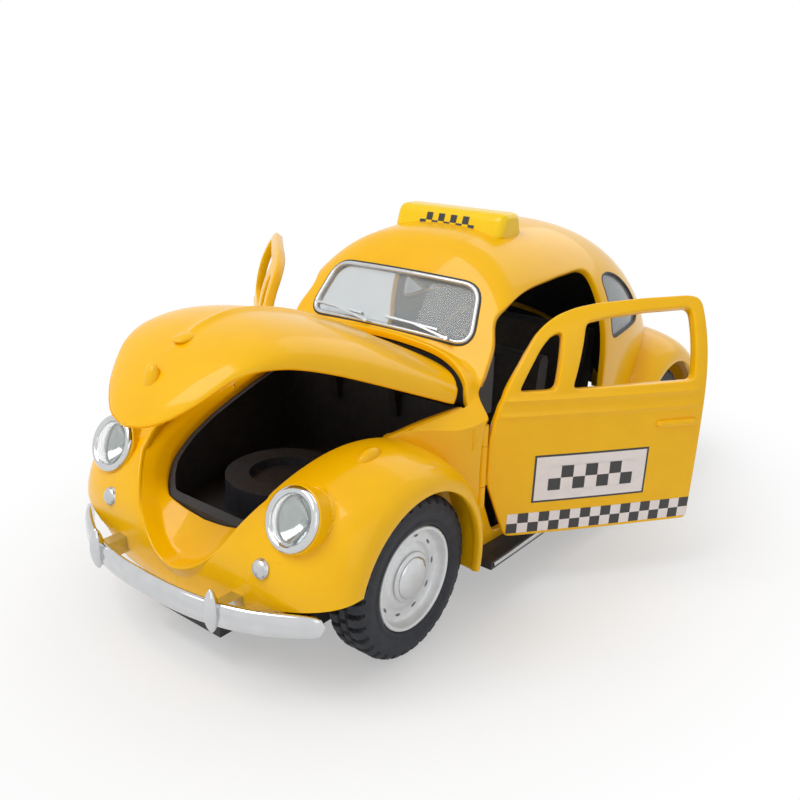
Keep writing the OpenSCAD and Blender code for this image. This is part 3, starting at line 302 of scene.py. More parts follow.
def on_top(points, y0, z0, slope):
    """An outline drawn on a sloped plane, thrown square onto the roof, as a plan of length and girth."""
    x, up = np.array(points, float).T
    c, s = math.cos(math.atan(slope)), math.sin(math.atan(slope))
    y, z = y0 + up * c, z0 + up * s
    lo, hi = np.full(len(x), -5.0), np.full(len(x), 3.0)
    y = y - s * search(lo, hi, lambda d: z + d * c < roof_z(x, y - d * s))[0]
    return np.stack([y, np.sign(x) * GIRTH * (1 - q_of_x(y, x))], 1)


SCREEN_W, SCREEN_LEN, SCREEN_BASE = 30.0, 8.2, 0.84
PANE_ROUND, QUARTER_ROUND = 2.4, 1.6
SCREEN_SHARES = [[-1, 0], [1, 0], [0.88, 1], [-0.88, 1]]


def screen_outline(ease):
    poly = [[k * SCREEN_W / 2, SCREEN_BASE + v * SCREEN_LEN] for k, v in SCREEN_SHARES]
    return on_top(rounded(poly, PANE_ROUND, ease), -SCREEN_FOOT, COWL_H, SCREEN_RISE)


REAR_W, REAR_LEN, REAR_SHARE, REAR_EASE_SHARE = 18.0, 6.5, 0.775, 0.03
REAR_FALL = roof_line(REAR_SHARE + REAR_EASE_SHARE) - roof_line(REAR_SHARE - REAR_EASE_SHARE)
REAR_SLOPE = float(ROOF_H * REAR_FALL / (2 * REAR_EASE_SHARE * CABIN_RUN))


def rear_outline(ease):
    poly = [[a * REAR_W / 2, b * REAR_LEN / 2] for a, b in SQUARE]
    y, z = REAR_SHARE * CABIN_RUN - CABIN_LEAD, float(ROOF_H * roof_line(REAR_SHARE))
    return on_top(rounded(poly, PANE_ROUND, ease), y, z, REAR_SLOPE)


def quarter_outline(ease, sign):
    high = ROOF_H - BELT_H
    poly = [[QUARTER_Y + a * QUARTER_LEN, BELT_H + b * high] for a, b in QUARTER_SHARES]
    return on_side(rounded(poly, QUARTER_ROUND, ease), sign)


# Mesh makers
def grid_tris(n, m, wrap=False):
    out = []
    for i in range(n - 1):
        for j in range(m if wrap else m - 1):
            a, b = i * m + j, i * m + (j + 1) % m
            out.append([a, b, b + m, a + m])
    return out


def halved(quads):
    return np.concatenate([quads[:, [0, 1, 2]], quads[:, [0, 2, 3]]])


def packed(faces):
    """The points that faces use, and the faces counted over those points alone."""
    used, flat = np.unique(faces, return_inverse=True)
    return used, flat.reshape(faces.shape)


def outward(p, tris):
    """The triangles, turned over where they face the cabin's middle."""
    a, b, c = (p[tris[:, k]] for k in range(3))
    return tris if np.sum(np.cross(b - a, c - a) * (a - CABIN_MIDDLE)) > 0 else tris[:, ::-1]


def patch(fn, outline, holes, seeds, clear=0.42):
    """A surface cut to an outline with holes: its plan's points, its own points and its triangles."""
    loops = [outline] + holes
    ring = np.concatenate(loops)
    p = seeds[inside(seeds, outline)]
    for h in holes:
        p = p[~inside(p, h)]
    near = np.concatenate([np.min(np.linalg.norm(part[:, None] - ring[None], axis=2), axis=1)
                           for part in np.array_split(p, max(1, len(p) // 400))])
    p = p[near > clear]
    verts = np.concatenate([ring, p])
    edges, at = [], 0
    for loop in loops:
        edges += [(at + i, at + (i + 1) % len(loop)) for i in range(len(loop))]
        at += len(loop)
    v2, _, tris, _, _, _ = delaunay_2d_cdt([Vector(v) for v in verts], edges, [], 0, 1e-6)
    v2, tris = np.array([tuple(v) for v in v2]), np.array(tris)
    mid = v2[tris].mean(1)
    keep = inside(mid, outline)
    for h in holes:
        keep &= ~inside(mid, h)
    used, tris = packed(tris[keep])
    return v2[used], fn(v2[used]), tris


def vertex_normals(p, tris):
    f = np.cross(p[tris[:, 1]] - p[tris[:, 0]], p[tris[:, 2]] - p[tris[:, 0]])
    n = np.zeros_like(p)
    for k in range(3):
        np.add.at(n, tris[:, k], f)
    return unit(n)


def shell(p, tris, thick, r, n=None):
    """Gives a surface a thickness, one in all or one a point, and a rounded rim.

    Tags: 0 outside, 1 inside, 2 rim.
    """
    thick = np.broadcast_to(thick, len(p))[:, None]
    n = vertex_normals(p, tris) if n is None else n
    count = len(p)
    directed = np.concatenate([tris[:, [0, 1]], tris[:, [1, 2]], tris[:, [2, 0]]])
    key = set(map(tuple, directed.tolist()))
    rim = [(a, b) for a, b in directed.tolist() if (b, a) not in key]
    out = np.zeros_like(p)
    for a, b in rim:
        d = np.cross(p[b] - p[a], n[a] + n[b])
        d /= max(np.linalg.norm(d), 1e-12)
        out[a] += d
        out[b] += d
    edge = sorted({i for e in rim for i in e})
    slot = {v: k for k, v in enumerate(edge)}
    d = unit(out[edge])
    turn = np.radians([22.5, 45, 67.5, 90])
    layers = [(r * math.sin(a), r * (1 - math.cos(a))) for a in turn]
    inner = np.maximum(thick[edge], r) - r
    layers += [(r * math.cos(a), inner + r * math.sin(a)) for a in np.radians([0, 45])]
    verts = [p, p - n * thick] + [p[edge] + d * u - n[edge] * v for u, v in layers]
    faces = tris.tolist() + (tris[:, ::-1] + count).tolist()
    tags = [0] * len(tris) + [1] * len(tris)

    def index(v, k):
        if k == 0:
            return v
        if k == len(layers) + 1:
            return v + count
        return 2 * count + (k - 1) * len(edge) + slot[v]
    for a, b in rim:
        for k in range(len(layers) + 1):
            faces.append([index(b, k), index(a, k), index(a, k + 1), index(b, k + 1)])
            tags.append(2)
    return np.concatenate(verts), faces, tags


def flipped(faces):
    return [f[::-1] for f in faces]


def lathe(profile, steps):
    """Points and faces of a profile of radius and height turned about Z."""
    p = np.array(profile, float)
    a = np.arange(steps) * 2 * math.pi / steps
    v = np.stack([p[:, :1] * np.cos(a), p[:, :1] * np.sin(a), np.repeat(p[:, 1:], steps, 1)], 2)
    return v.reshape(-1, 3), flipped(grid_tris(len(p), steps, True))


def merge(parts):
    verts, faces, tags, at = [], [], [], 0
    for part in parts:
        v, f = part[0], part[1]
        verts.append(v)
        faces += [[i + at for i in face] for face in f]
        tags += list(part[2]) if len(part) > 2 else [0] * len(f)
        at += len(v)
    return np.concatenate(verts), faces, tags


def mirrored(part):
    return (part[0] * [-1, 1, 1], flipped(part[1])) + tuple(part[2:])


def pair(part):
    return merge([part, mirrored(part)])


def placed(part, matrix):
    m = np.array(matrix)
    return (part[0] @ m[:3, :3].T + m[:3, 3],) + tuple(part[1:])


def moved(x, y, z):
    return Matrix.Translation((x, y, z))


def turned(deg, axis):
    return Matrix.Rotation(math.radians(deg), 4, axis)


def about(x, y, z, deg, axis):
    return moved(x, y, z) @ turned(deg, axis) @ moved(-x, -y, -z)


def arc(cx, cy, r, a0, a1, steps, high=None):
    """Points of a circle, or of an ellipse whose second half axis is given."""
    a = np.radians(np.linspace(a0, a1, steps))
    return np.stack([cx + r * np.cos(a), cy + (high or r) * np.sin(a)], 1).tolist()


def rod(path, wide, high, steps):
    """An oval rod along Y, its half width and half height one in all or one a point."""
    p = np.array(path)
    a = np.linspace(0, 2 * math.pi, steps + 1)[:-1]
    x = p[:, :1] + np.broadcast_to(wide, len(p))[:, None] * np.cos(a)
    z = p[:, 2:] + np.broadcast_to(high, len(p))[:, None] * np.sin(a)
    return np.stack([x, np.repeat(p[:, 1:2], steps, 1), z], 2).reshape(-1, 3), grid_tris(len(p), steps, True)


def add(name, part, mats, nodes=(), sharp=38, body="chassis"):
    """Makes a piece in the part's frame, on its body, in place of the named nodes."""
    me = bpy.data.meshes.new(name)
    me.from_pydata(((part[0] - [0, 0, RIDE]) * MM).tolist(), [], part[1])
    mats = mats if isinstance(mats, list) else [mats]
    for m in mats:
        me.materials.append(m)
    if len(part) > 2 and len(mats) > 1:
        me.polygons.foreach_set("material_index", np.minimum(part[2], len(mats) - 1).astype(np.int32))
    me.shade_smooth()
    me.set_sharp_from_angle(angle=math.radians(sharp))
    me.update()
    ob = bpy.data.objects.new(name, me)
    scene.collection.objects.link(ob)
    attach(ob, body)
    if nodes:
        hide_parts(*nodes)
    return ob


# Materials
ROUGH_VARY, COAT_ROUGH = 0.08, 0.04


def put(node, **values):
    """Sets a shader node's inputs. An underscore in a name stands for a space."""
    for name, value in values.items():
        node.inputs[name.replace("_", " ")].default_value = value
    return node


def material(name, color, rough, vary, metal=0.0, coat=0.0, scale=900.0, bump=0.0, bump_scale=4000.0,
             through=0.0, ior=1.45, specular=0.5, stretch=(1, 1, 1), bump_size=0.00006):
    """A colour and roughness that a noise varies, with a finer noise as its relief where bump is set."""
    m = bpy.data.materials.new(name)
    m.use_nodes = True
    nt = m.node_tree
    new, link = nt.nodes.new, nt.links.new
    sh = put(nt.nodes["Principled BSDF"], Metallic=metal, Coat_Weight=coat, Coat_Roughness=COAT_ROUGH,
             Transmission_Weight=through, IOR=ior, Specular_IOR_Level=specular)
    co = new("ShaderNodeTexCoord")
    mp = put(new("ShaderNodeMapping"), Scale=stretch)
    link(co.outputs["Object"], mp.inputs["Vector"])
    no = put(new("ShaderNodeTexNoise"), Scale=scale, Detail=4)
    link(mp.outputs["Vector"], no.inputs["Vector"])
    ramp = new("ShaderNodeValToRGB")
    for e, k, at in zip(ramp.color_ramp.elements, (1 - vary, 1 + vary), (0.3, 0.7)):
        e.color = [min(1, c * k) for c in color] + [1]
        e.position = at
    link(no.outputs["Fac"], ramp.inputs["Fac"])
    link(ramp.outputs["Color"], sh.inputs["Base Color"])
    rr = put(new("ShaderNodeMapRange"), To_Min=rough * (1 - ROUGH_VARY), To_Max=rough * (1 + ROUGH_VARY))
    link(no.outputs["Fac"], rr.inputs["Value"])
    link(rr.outputs["Result"], sh.inputs["Roughness"])
    if bump:
        fine = put(new("ShaderNodeTexNoise"), Scale=bump_scale, Detail=3)
        link(mp.outputs["Vector"], fine.inputs["Vector"])
        bp = put(new("ShaderNodeBump"), Strength=bump, Distance=bump_size)
        link(fine.outputs["Fac"], bp.inputs["Height"])
        link(bp.outputs["Normal"], sh.inputs["Normal"])
    return m


PAINT = material("taxi_paint", (1.0, 0.53, 0.0), 0.3, coat=0.35, vary=0.025, scale=260, bump=0.05,
                 bump_scale=700, bump_size=0.0002, specular=0.14)
# Near-black: the seats' own colour, and painted shade on the inner skin of the cabin's shell.
INSIDE_BLACK_AND_SHADE = material("cabin_black_and_painted_shade", (0.022, 0.022, 0.024), 0.6, vary=0.3, bump=0.4, bump_scale=5000)
BLACK = material("black_plastic", (0.017, 0.017, 0.019), 0.5, vary=0.3, bump=0.35, bump_scale=5200)
CHROME = material("bright_plating", (0.6, 0.61, 0.62), 0.1, metal=1, vary=0.04, scale=500, bump=0.04,
                  bump_scale=900)
SILVER = material("silver_trim", (0.56, 0.57, 0.58), 0.26, metal=0.85, vary=0.05, bump=0.1)
GLASS = material("clear_pane", (0.72, 0.76, 0.78), 0.03, through=0.72, ior=1.25, vary=0.01, scale=120)
LENS = material("lamp_lens", (0.66, 0.71, 0.69), 0.12, through=0.7, ior=1.2, vary=0.03, scale=300, bump=0.25,
                bump_scale=1500, stretch=(1, 0.15, 0.15), bump_size=0.00008)
TYRE = material("tyre_rubber", (0.019, 0.021, 0.028), 0.62, vary=0.35, bump=0.5, bump_scale=5000)
RIM = material("rim_silver", (0.74, 0.75, 0.76), 0.32, metal=0.35, coat=0.3, vary=0.05, bump=0.08)
SIGN = material("sign_plastic", (1.0, 0.66, 0.0), 0.3, coat=0.35, vary=0.03, scale=400, bump=0.05,
                bump_scale=900, specular=0.2)
RED = material("red_lens", (0.5, 0.012, 0.012), 0.15, coat=0.8, vary=0.1, scale=600, bump=0.3,
               bump_scale=2500)
STEEL = material("plain_steel", (0.56, 0.56, 0.57), 0.3, metal=1, vary=0.08, bump=0.15, bump_scale=3000)
# Dark grey used as painted shade: it stands in for the shade inside the rim's slots.
SLOT_SHADE = material("slot_painted_shade", (0.16, 0.16, 0.17), 0.5, vary=0.2, bump=0.2)
PRINT = material("print_black", (0.016, 0.015, 0.014), 0.34, coat=0.5, vary=0.2, scale=1500)
PLATE = material("print_white", (0.86, 0.78, 0.75), 0.34, coat=0.5, vary=0.03, scale=700)

# Body skin
ROWS = np.concatenate([np.arange(-32.5, -6, 0.55), np.arange(-6, 36, 1.1), np.arange(36, 50, 0.7),
                       np.arange(50, 54.9, 0.3)])
HALF_Q = np.concatenate([np.linspace(0.02, SIDE_SHARE, 14)[:-1], np.linspace(SIDE_SHARE, 0.995, 44)])
HALF_S = GIRTH * (1 - HALF_Q)
SEEDS = np.array([[y, s] for y in ROWS for s in np.concatenate([HALF_S, -HALF_S])])
R_EDGE = 0.22
HOOD_ROOM, SEAT_DROP, TIP_DROP = 0.7, 0.9, 1.3


def door_hole(sign):
    hinge_gap, corner_r, gap = 0.68, 0.7, DOOR_GAP + R_EDGE
    poly = [door_at(p, 2 * hinge_gap - DOOR_GAP) for p in DOOR_SHARES]
    loop = on_side(rounded(poly, corner_r, gap, steps=4), sign, gap)
    for _ in range(8):
        loop = (np.roll(loop, 1, 0) + 2 * loop + np.roll(loop, -1, 0)) / 4
    return loop


def well_hole(end, sign):
    a = np.radians(np.arange(0, 360, 3))
    r = (TYRE_R + ARCH_R) / 2
    return on_side(np.stack([end * WHEELBASE / 2 + r * np.cos(a), TYRE_R + r * np.sin(a)], 1), sign)


def hood_plan(t, c):
    """Places on the hood from its length's and half width's shares, its rear edge bowed."""
    k = np.maximum(0, (np.abs(c) - 0.5) / 0.5)
    y = t * (HOOD_RUN - HOOD_BOW * k * k) - NOSE
    return c * hood_half(hood_at(y)), y


def hood_hole():
    gap, rear_gap, corner_y, corner_run = 0.65 + R_EDGE, 0.96 + R_EDGE, -28, 3
    t = np.linspace(0.5, 1, 40)
    x, y = hood_plan(t, np.ones(40))
    edge = np.stack([x + gap, y], 1)
    c = np.linspace(1, -1, 61)[1:-1]
    xr, yr = hood_plan(np.ones(59), c)
    k = np.abs(c) ** 6
    rear = np.stack([xr + gap * k * np.sign(c), yr + rear_gap], 1)
    right = np.concatenate([edge, edge[-1:] + [[0, rear_gap * 0.7]]])
    poly = resample(np.concatenate([right, rear, (right * [-1, 1])[::-1]]), STEP)
    poly = poly[(np.abs(poly[:, 0]) > 0.01) | (poly[:, 1] > -19)]
    x, y = np.abs(poly[:, 0]), poly[:, 1]
    ease = np.clip((corner_y - y) / corner_run, 0, 1)
    low = COWL_H * hood_edge(np.clip(hood_at(y), 0, 1)) - SEAT_DROP * ease
    q = np.where(y < corner_y, np.minimum(q_of_x(y, x), q_of_z(y, low)), q_of_x(y, x))
    return np.stack([y, np.sign(poly[:, 0]) * GIRTH * (1 - q)], 1)


frame_edge = resample([[-CABIN_LEAD, -GIRTH], [TAIL, -GIRTH], [TAIL, GIRTH], [-CABIN_LEAD, GIRTH]], 0.9)
holes = [door_hole(1), door_hole(-1), quarter_outline(R_EDGE, 1), quarter_outline(R_EDGE, -1),
         screen_outline(R_EDGE), rear_outline(R_EDGE), hood_hole()]
holes += [well_hole(e, s) for e in (-1, 1) for s in (1, -1)]
_, skin, skin_tris = patch(cabin, frame_edge, holes, SEEDS)
body_parts = [shell(skin, outward(skin, skin_tris), WALL * 0.9, R_EDGE)]

# Places on the front fenders
fender_y, fender_z = -WHEELBASE / 2 - ARCH_LEAD, TYRE_R + ARCH_LIFT
lamp_y = fender_y - math.sqrt(FENDER_R ** 2 - (LAMP_H - fender_z) ** 2)
AT_LAMP = moved(LAMP_SPAN / 2, lamp_y, LAMP_H) @ turned(90 - LAMP_LEAN, "X")


def at_crown(x, a, r):
    c, s = math.cos(math.radians(a)), math.sin(math.radians(a))
    return moved(x, fender_y + r * c, fender_z + r * s) @ turned(a - 90, "X")


BAY_LEN, BAY_WID, BAY_FLAT, APRON_H = 0.9, 0.92, 0.05, SILL_H + 1.5 * WALL


def buried(p, front):
    """Whether points of a fender lie within the cabin, under the hood or in the bay."""
    x, y, z = p.T
    cabin_front, cabin_rear, tip_rear, bay_wall = -31, 54, -47, WALL / 2
    gone = (y > cabin_front) & (y < cabin_rear) & (x < section(y, q_of_z(y, z))[0] - 1)
    if front:
        t, before = hood_at(y), y < -HOOD_REAR
        gone |= before & (x < hood_half(t) + HOOD_ROOM) & (z > COWL_H * hood_edge(t) - SEAT_DROP)
        t = 1 + (y + HOOD_REAR) / (HOOD_RUN * BAY_LEN)
        wide = hood_half(np.clip(t, 0, 1.3)) * BAY_WID + bay_wall
        gone |= before & (t > BAY_FLAT) & (x < wide) & (z > APRON_H)
        t = np.linspace(0, 0.2, 60)
        gone |= (y < tip_rear) & (z > np.interp(x, hood_half(t), blunt_edge(t) - TIP_DROP, right=99))
    return gone


def fender_at(crown, inner, end, i, s):
    """Points of a fender, i running over it from cabin to end and s from its inner edge to its lip."""
    a_from, a_to, a_more, power = -14, 162, 23, 2 / FENDER_ROUND
    a = a_from + (a_to + (1 - s) * a_more - a_from) * i
    xi, xl = FENDER_W / 2 * inner(a), FENDER_W / 2
    r = ARCH_R + (FENDER_R * crown(a) - ARCH_R) * np.maximum(np.cos(np.pi / 2 * s), 0) ** power
    x = xi + (xl - xi) * np.sin(np.pi / 2 * s) ** power
    y, z = fender_y + r * np.cos(np.radians(a)), fender_z + r * np.sin(np.radians(a))
    return np.stack([x, -end * y, z], 2).reshape(-1, 3)


def fender(crown, inner, end):
    rows, cols, fine = 110, 40, 90
    i = np.linspace(0, 1, rows)[:, None]
    s = np.linspace(0, 1, fine)[None, :]
    gone = buried(fender_at(crown, inner, end, i, s), end < 0).reshape(rows, fine)
    last = np.array([max(np.nonzero(g)[0], default=-1) for g in gone])
    lo, hi = s[0][np.maximum(last, 0)], s[0][last + 1]
    _, hi = search(lo, hi, lambda mid: buried(fender_at(crown, inner, end, i, mid[:, None]), end < 0), 16)
    start = np.where(last < 0, 0, hi)[:, None]
    p = fender_at(crown, inner, end, i, start + (1 - start) * np.linspace(0, 1, cols)[None, :])
    if end < 0:
        foot, wide, ease, lamp_room = p[-cols:], 16, 3.5, 6
        drop = np.clip((wide - foot[:, 0]) / ease, 0, 1) * np.maximum(foot[:, 2] - APRON_H + WALL / 2, 0)
        skirt = [foot + np.stack([0 * drop, 0.3 * drop * k, -drop * k], 1) for k in (0.34, 0.67, 1)]
        p = np.concatenate([p] + skirt)
        rows += 3
    quads = np.array(grid_tris(rows, cols))
    if end < 0:
        turn = np.array(AT_LAMP)
        q = (p - turn[:3, 3]) @ turn[:3, :3]
        rad = np.hypot(q[:, 0], q[:, 1])
        hole = (rad < 1.05 * LAMP_R) & (np.abs(q[:, 2]) < lamp_room)
        quads = quads[~hole[quads].all(1)]
        push = np.where(hole, 1.06 * LAMP_R / np.maximum(rad, 1e-6), 1)
        q[:, :2] *= push[:, None]
        p = q @ turn[:3, :3].T + turn[:3, 3]
    used, quads = packed(quads)
    tris = halved(quads)
    return shell(p[used], tris[:, ::-1] if end < 0 else tris, WALL, 0.35)


for end, crown, inner in ((-1, front_crown, front_inner), (1, rear_crown, rear_inner)):
    one = fender(crown, inner, end)
    body_parts += [one, mirrored(one)]


# Seat, flange and apron round the bay
def collar():
    seat_drop, seat_wide, seat_share, bend = 0.4, 1.8, 0.46, 0.5
    t = np.concatenate([np.linspace(0.92, 0.1, 60), 0.1 * np.linspace(1, 0, 40)[1:] ** 2])
    x, y = hood_half(t), np.hypot(t, TIP_SHARE) * HOOD_RUN - NOSE
    rim = blunt_edge(t) - seat_drop - 0.3 * np.exp(-(x / 3) ** 2)
    w, yb = x * BAY_WID, (np.maximum(t, BAY_FLAT) - 1) * HOOD_RUN * BAY_LEN - HOOD_REAR
    zb = COWL_H * bay_edge(t)
    dx, dy = w - x, yb - y
    k = np.minimum(seat_share, seat_wide / np.hypot(dx, dy))
    tx, ty = np.gradient(x), np.gradient(y)
    out = (0.6 + 0.15 * np.exp(-(x / 7) ** 2)) / np.hypot(tx, ty)
    corner = np.stack([np.stack([x * 0.97, y + WALL, np.full_like(t, APRON_H)], 1),
                       np.stack([x - ty * out, y + tx * out, rim], 1),
                       np.stack([x + dx * k, y + dy * k, rim + np.minimum(0, (zb - rim) * k)], 1),
                       np.stack([w, yb, zb], 1),
                       np.stack([w, yb, np.full_like(t, APRON_H)], 1)], 1)
    corner[-1, :, 0] = 0
    rings = []
    for c in np.concatenate([corner, (corner * [-1, 1, 1])[-2::-1]]):
        ring = [c[0] + (c[1] - c[0]) * k for k in (0, 0.25, 0.5, 0.75)]
        for i in (1, 2, 3):
            u, v = c[i - 1] - c[i], c[i + 1] - c[i]
            du, dv = np.linalg.norm(u), np.linalg.norm(v)
            d = min(bend, 0.4 * du, 0.4 * dv)
            for k in np.linspace(0, 1, 5):
                ring.append(c[i] + u / du * d * (1 - k) ** 2 + v / dv * d * k * k)
        ring.append(c[4])
        rings.append(ring)
    v = np.array(rings)
    return v.reshape(-1, 3), grid_tris(v.shape[0], v.shape[1])


body_parts.append(collar())

# Headlamp buckets and indicator bumps on the front fenders
bucket = lathe([[LAMP_R * 1.0, -LAMP_R * 1.3], [LAMP_R * 1.04, -0.5], [LAMP_R * 1.05, 0.0]]
               + arc(LAMP_R, 0.1, 0.05 * LAMP_R, 0, 90, 4) + [[LAMP_R * 0.9, 0.25]], 72)
bucket = placed(bucket, AT_LAMP)
bump = lathe(arc(0, 0, 0.5 * LAMP_R, -30, 90, 14, 0.25 * LAMP_R), 40)
bump = placed((bump[0] * [0.5, 1, 1], bump[1]), at_crown(FENDER_W * 0.36, 100, FENDER_R * 0.895))
body_parts += [bucket, mirrored(bucket), bump, mirrored(bump)]
whole = merge(body_parts)
# The inner skin of the cabin's shell is drawn near-black as painted shade, where the shell would be body
# colour but gets no light.
painted_shade_inside = [int(t == 1 and i < len(body_parts[0][1])) for i, t in enumerate(whole[2])]
add("body_paintwork", (whole[0], whole[1], painted_shade_inside), [PAINT, INSIDE_BLACK_AND_SHADE], ["body_shell"])

# Hood
SWING_HOOD = about(0, -HOOD_AXIS, HOOD_AXIS_H, -HOOD_OPEN, "X")


def hood():
    """The hood shut, with a ridge along its middle and thinner towards its edge."""
    ridge_h, ridge_w, ridge_start, tip_run, rim_run, rim_r = 0.5, 0.6, 0.05, 0.08, 2.5, 0.3
    t = np.linspace(0, 1, 90)[:, None] ** 1.8
    half = np.concatenate([[0, 0.006, 0.012, 0.02, 0.03, 0.045, 0.065], np.linspace(0.09, 0.9, 24),
                           0.9 + 0.1 * (1 - np.linspace(1, 0, 9)[1:] ** 2)])
    c = np.concatenate([-half[:0:-1], half])[None, :]
    x, y = hood_plan(t, c)
    u = hood_at(y)
    e = blunt_edge(u)
    dome = np.maximum(0, 1 - np.abs(c) ** HOOD_ROUND) ** (1 / HOOD_ROUND)
    z = e + np.maximum(COWL_H * hood_crown(u) - e, 0) * dome
    z = z + ridge_h * np.exp(-(x / ridge_w) ** 2) * np.clip((u - ridge_start) / tip_run, 0, 1)
    p = np.stack([x, y, z], 2)
    cols = p.shape[1]
    tris = halved(np.array(grid_tris(p.shape[0], cols)))
    tris = np.where(tris < cols, 0, tris)
    tris = tris[(tris[:, 0] != tris[:, 1]) & (tris[:, 1] != tris[:, 2]) & (tris[:, 2] != tris[:, 0])]
    used, tris = packed(tris)
    rim = np.maximum(0, 1 - np.abs(c)) * hood_half(u)
    thick = np.clip(np.minimum(u / tip_run, rim / rim_run), rim_r, 1).reshape(-1)
    return shell(p.reshape(-1, 3)[used], tris, thick[used], rim_r)


def blob(size):
    v, f = lathe(arc(0, 0, 1, -90, 90, 19), 36)
    return v * size, f


def hood_spot(t):
    return moved(0, t * HOOD_RUN - NOSE, float(COWL_H * hood_crown(t)))


grip = placed(blob([1.08, 0.77, 1.62]), hood_spot(0.036) @ turned(14, "X"))
boss = placed(blob([1.25, 1.6, 0.5]), hood_spot(0.105) @ turned(38, "X"))
hood_mesh = merge([hood(), grip, boss])
add("hood_paintwork", placed(hood_mesh, SWING_HOOD), PAINT, ["hood_panel"], body="hood")

# Doors
RIDGES, RIDGE_W, RIDGE_FROM, RIDGE_TO, RIDGE_FADE = ((29.9, 0.3), (27.7, 0.26)), 0.36, -18.6, 12.6, 1.5


def door():
    """The left door shut, with two ridges below its windows."""
    r, corner_r, window_r, pitch = 0.3, 0.9, 1.0, 0.8
    outline = rounded([door_at(p) for p in DOOR_SHARES], corner_r, -r, 0.55, 5)
    windows = [rounded([door_at(p) for p in w], window_r, r, 0.5, 5) for w in (VENT_SHARES, MAIN_SHARES)]
    zs = np.concatenate([np.arange(DOOR_FOOT, 26.4, pitch), np.arange(26.4, 31.2, 0.22),
                         np.arange(31.4, DOOR_TOP, 0.7)])
    seeds = np.array([[y, z] for z in zs for y in np.arange(-19.2, 13.1, pitch)])
    v2, p, tris = patch(side, outline, windows, seeds, r)
    tris = outward(p, tris)
    n = vertex_normals(p, tris)
    y, z = v2.T
    fade = np.clip((y - RIDGE_FROM) / RIDGE_FADE, 0, 1) * np.clip((RIDGE_TO - y) / RIDGE_FADE, 0, 1)
    rise = sum(h * np.exp(-((z - at) / RIDGE_W) ** 2) for at, h in RIDGES)
    return shell(p + n * (rise * fade)[:, None], tris, DOOR_WALL, r, n)


def print_cells(y_edges, z_edges, lift, tag=None):
    """Printed cells on the door, chequered unless one tag is given."""
    parts = []
    for i in range(len(y_edges) - 1):
        for j in range(len(z_edges) - 1):
            ys, zs = np.linspace(y_edges[i], y_edges[i + 1], 4), np.linspace(z_edges[j], z_edges[j + 1], 3)
            p2 = np.array([[y, z] for y in ys for z in zs])
            f = grid_tris(4, 3)
            tags = [(i + j) % 2 if tag is None else tag] * len(f)
            parts.append((side(p2) + normals_of(side, p2) * lift, f, tags))
    return merge(parts)


def door_y(share):
    return share * DOOR_LEN - DOOR_FRONT


def handle():
    y0, y1, z, end_r, out = door_y(0.765), door_y(0.965), 25.1, 0.7, 0.1
    ys = np.linspace(y0, y1, 30)
    k = np.clip(np.minimum(ys - y0, y1 - ys) / end_r, 0, 1)
    size = np.sqrt(np.maximum(1e-4, 1 - (1 - k) ** 2))
    return rod(side(np.stack([ys, np.full(30, z)], 1)) + [out, 0, 0], 0.5 * size, 0.55 * size, 16)


SWING_LEFT = about(HINGE_X, HINGE_Y, 0, -LEFT_OPEN, "Z")
SWING_RIGHT = about(-HINGE_X, HINGE_Y, 0, RIGHT_OPEN, "Z")
door_mesh = merge([door(), handle()])
band_y = np.linspace(door_y(0.105), door_y(0.993), 19)
band_z = np.array([9.75, 11.3, 12.85])
band = print_cells(band_y, band_z, 0.035)
plate_y, plate_z = np.array([door_y(0.21), door_y(0.75)]), np.array([14.4, 21.7])
plate = [print_cells(plate_y + [e, -e], plate_z + [e, -e], lift, tag)
         for e, lift, tag in ((0.0, 0.03, 0), (0.3, 0.05, 1))]
mid_y, mid_z, cell = sum(plate_y) / 2, sum(plate_z) / 2, 1.85
motif = print_cells(mid_y + cell * np.arange(-3.5, 4), mid_z + cell * np.arange(-1, 1.5), 0.09)
prints = merge([band] + plate + [motif])
for name, swing in (("left", SWING_LEFT), ("right", SWING_RIGHT)):
    one, ink = (door_mesh, prints) if name == "left" else (mirrored(door_mesh), mirrored(prints))
    add("door_paintwork_" + name, placed(one, swing), PAINT, ["door_" + name], body=name + "_door")
    add("door_print_" + name, placed(ink, swing), [PRINT, PLATE], body=name + "_door")

# Windows and their trim
PANE_EASE, PANE_SUNK, PANE_T = -0.08, 0.4, 0.5


def pane(name, outline, node):
    _, p, tris = patch(cabin, outline, [], SEEDS, 0.4)
    tris = outward(p, tris)
    n = vertex_normals(p, tris)
    add(name, shell(p - n * PANE_SUNK, tris, PANE_T, 0.1, n), GLASS, [node])


def bead(loop, profile):
    """A trim bar run round an outline: profile points are outward and upward from the outline."""
    p = cabin(loop)
    n = normals_of(cabin, loop)
    if np.mean(np.sum(n * (p - CABIN_MIDDLE), 1)) < 0:
        n = -n
    t = np.roll(p, -1, 0) - np.roll(p, 1, 0)
    d = unit(np.cross(t, n))
    if np.sum(d * (p - p.mean(0))) < 0:
        d = -d
    rings = np.stack([p + d * u + n * v for u, v in profile], 1)
    m, count = len(profile), len(rings) * len(profile)
    return rings.reshape(-1, 3), [[i % count for i in f] for f in grid_tris(len(rings) + 1, m)]


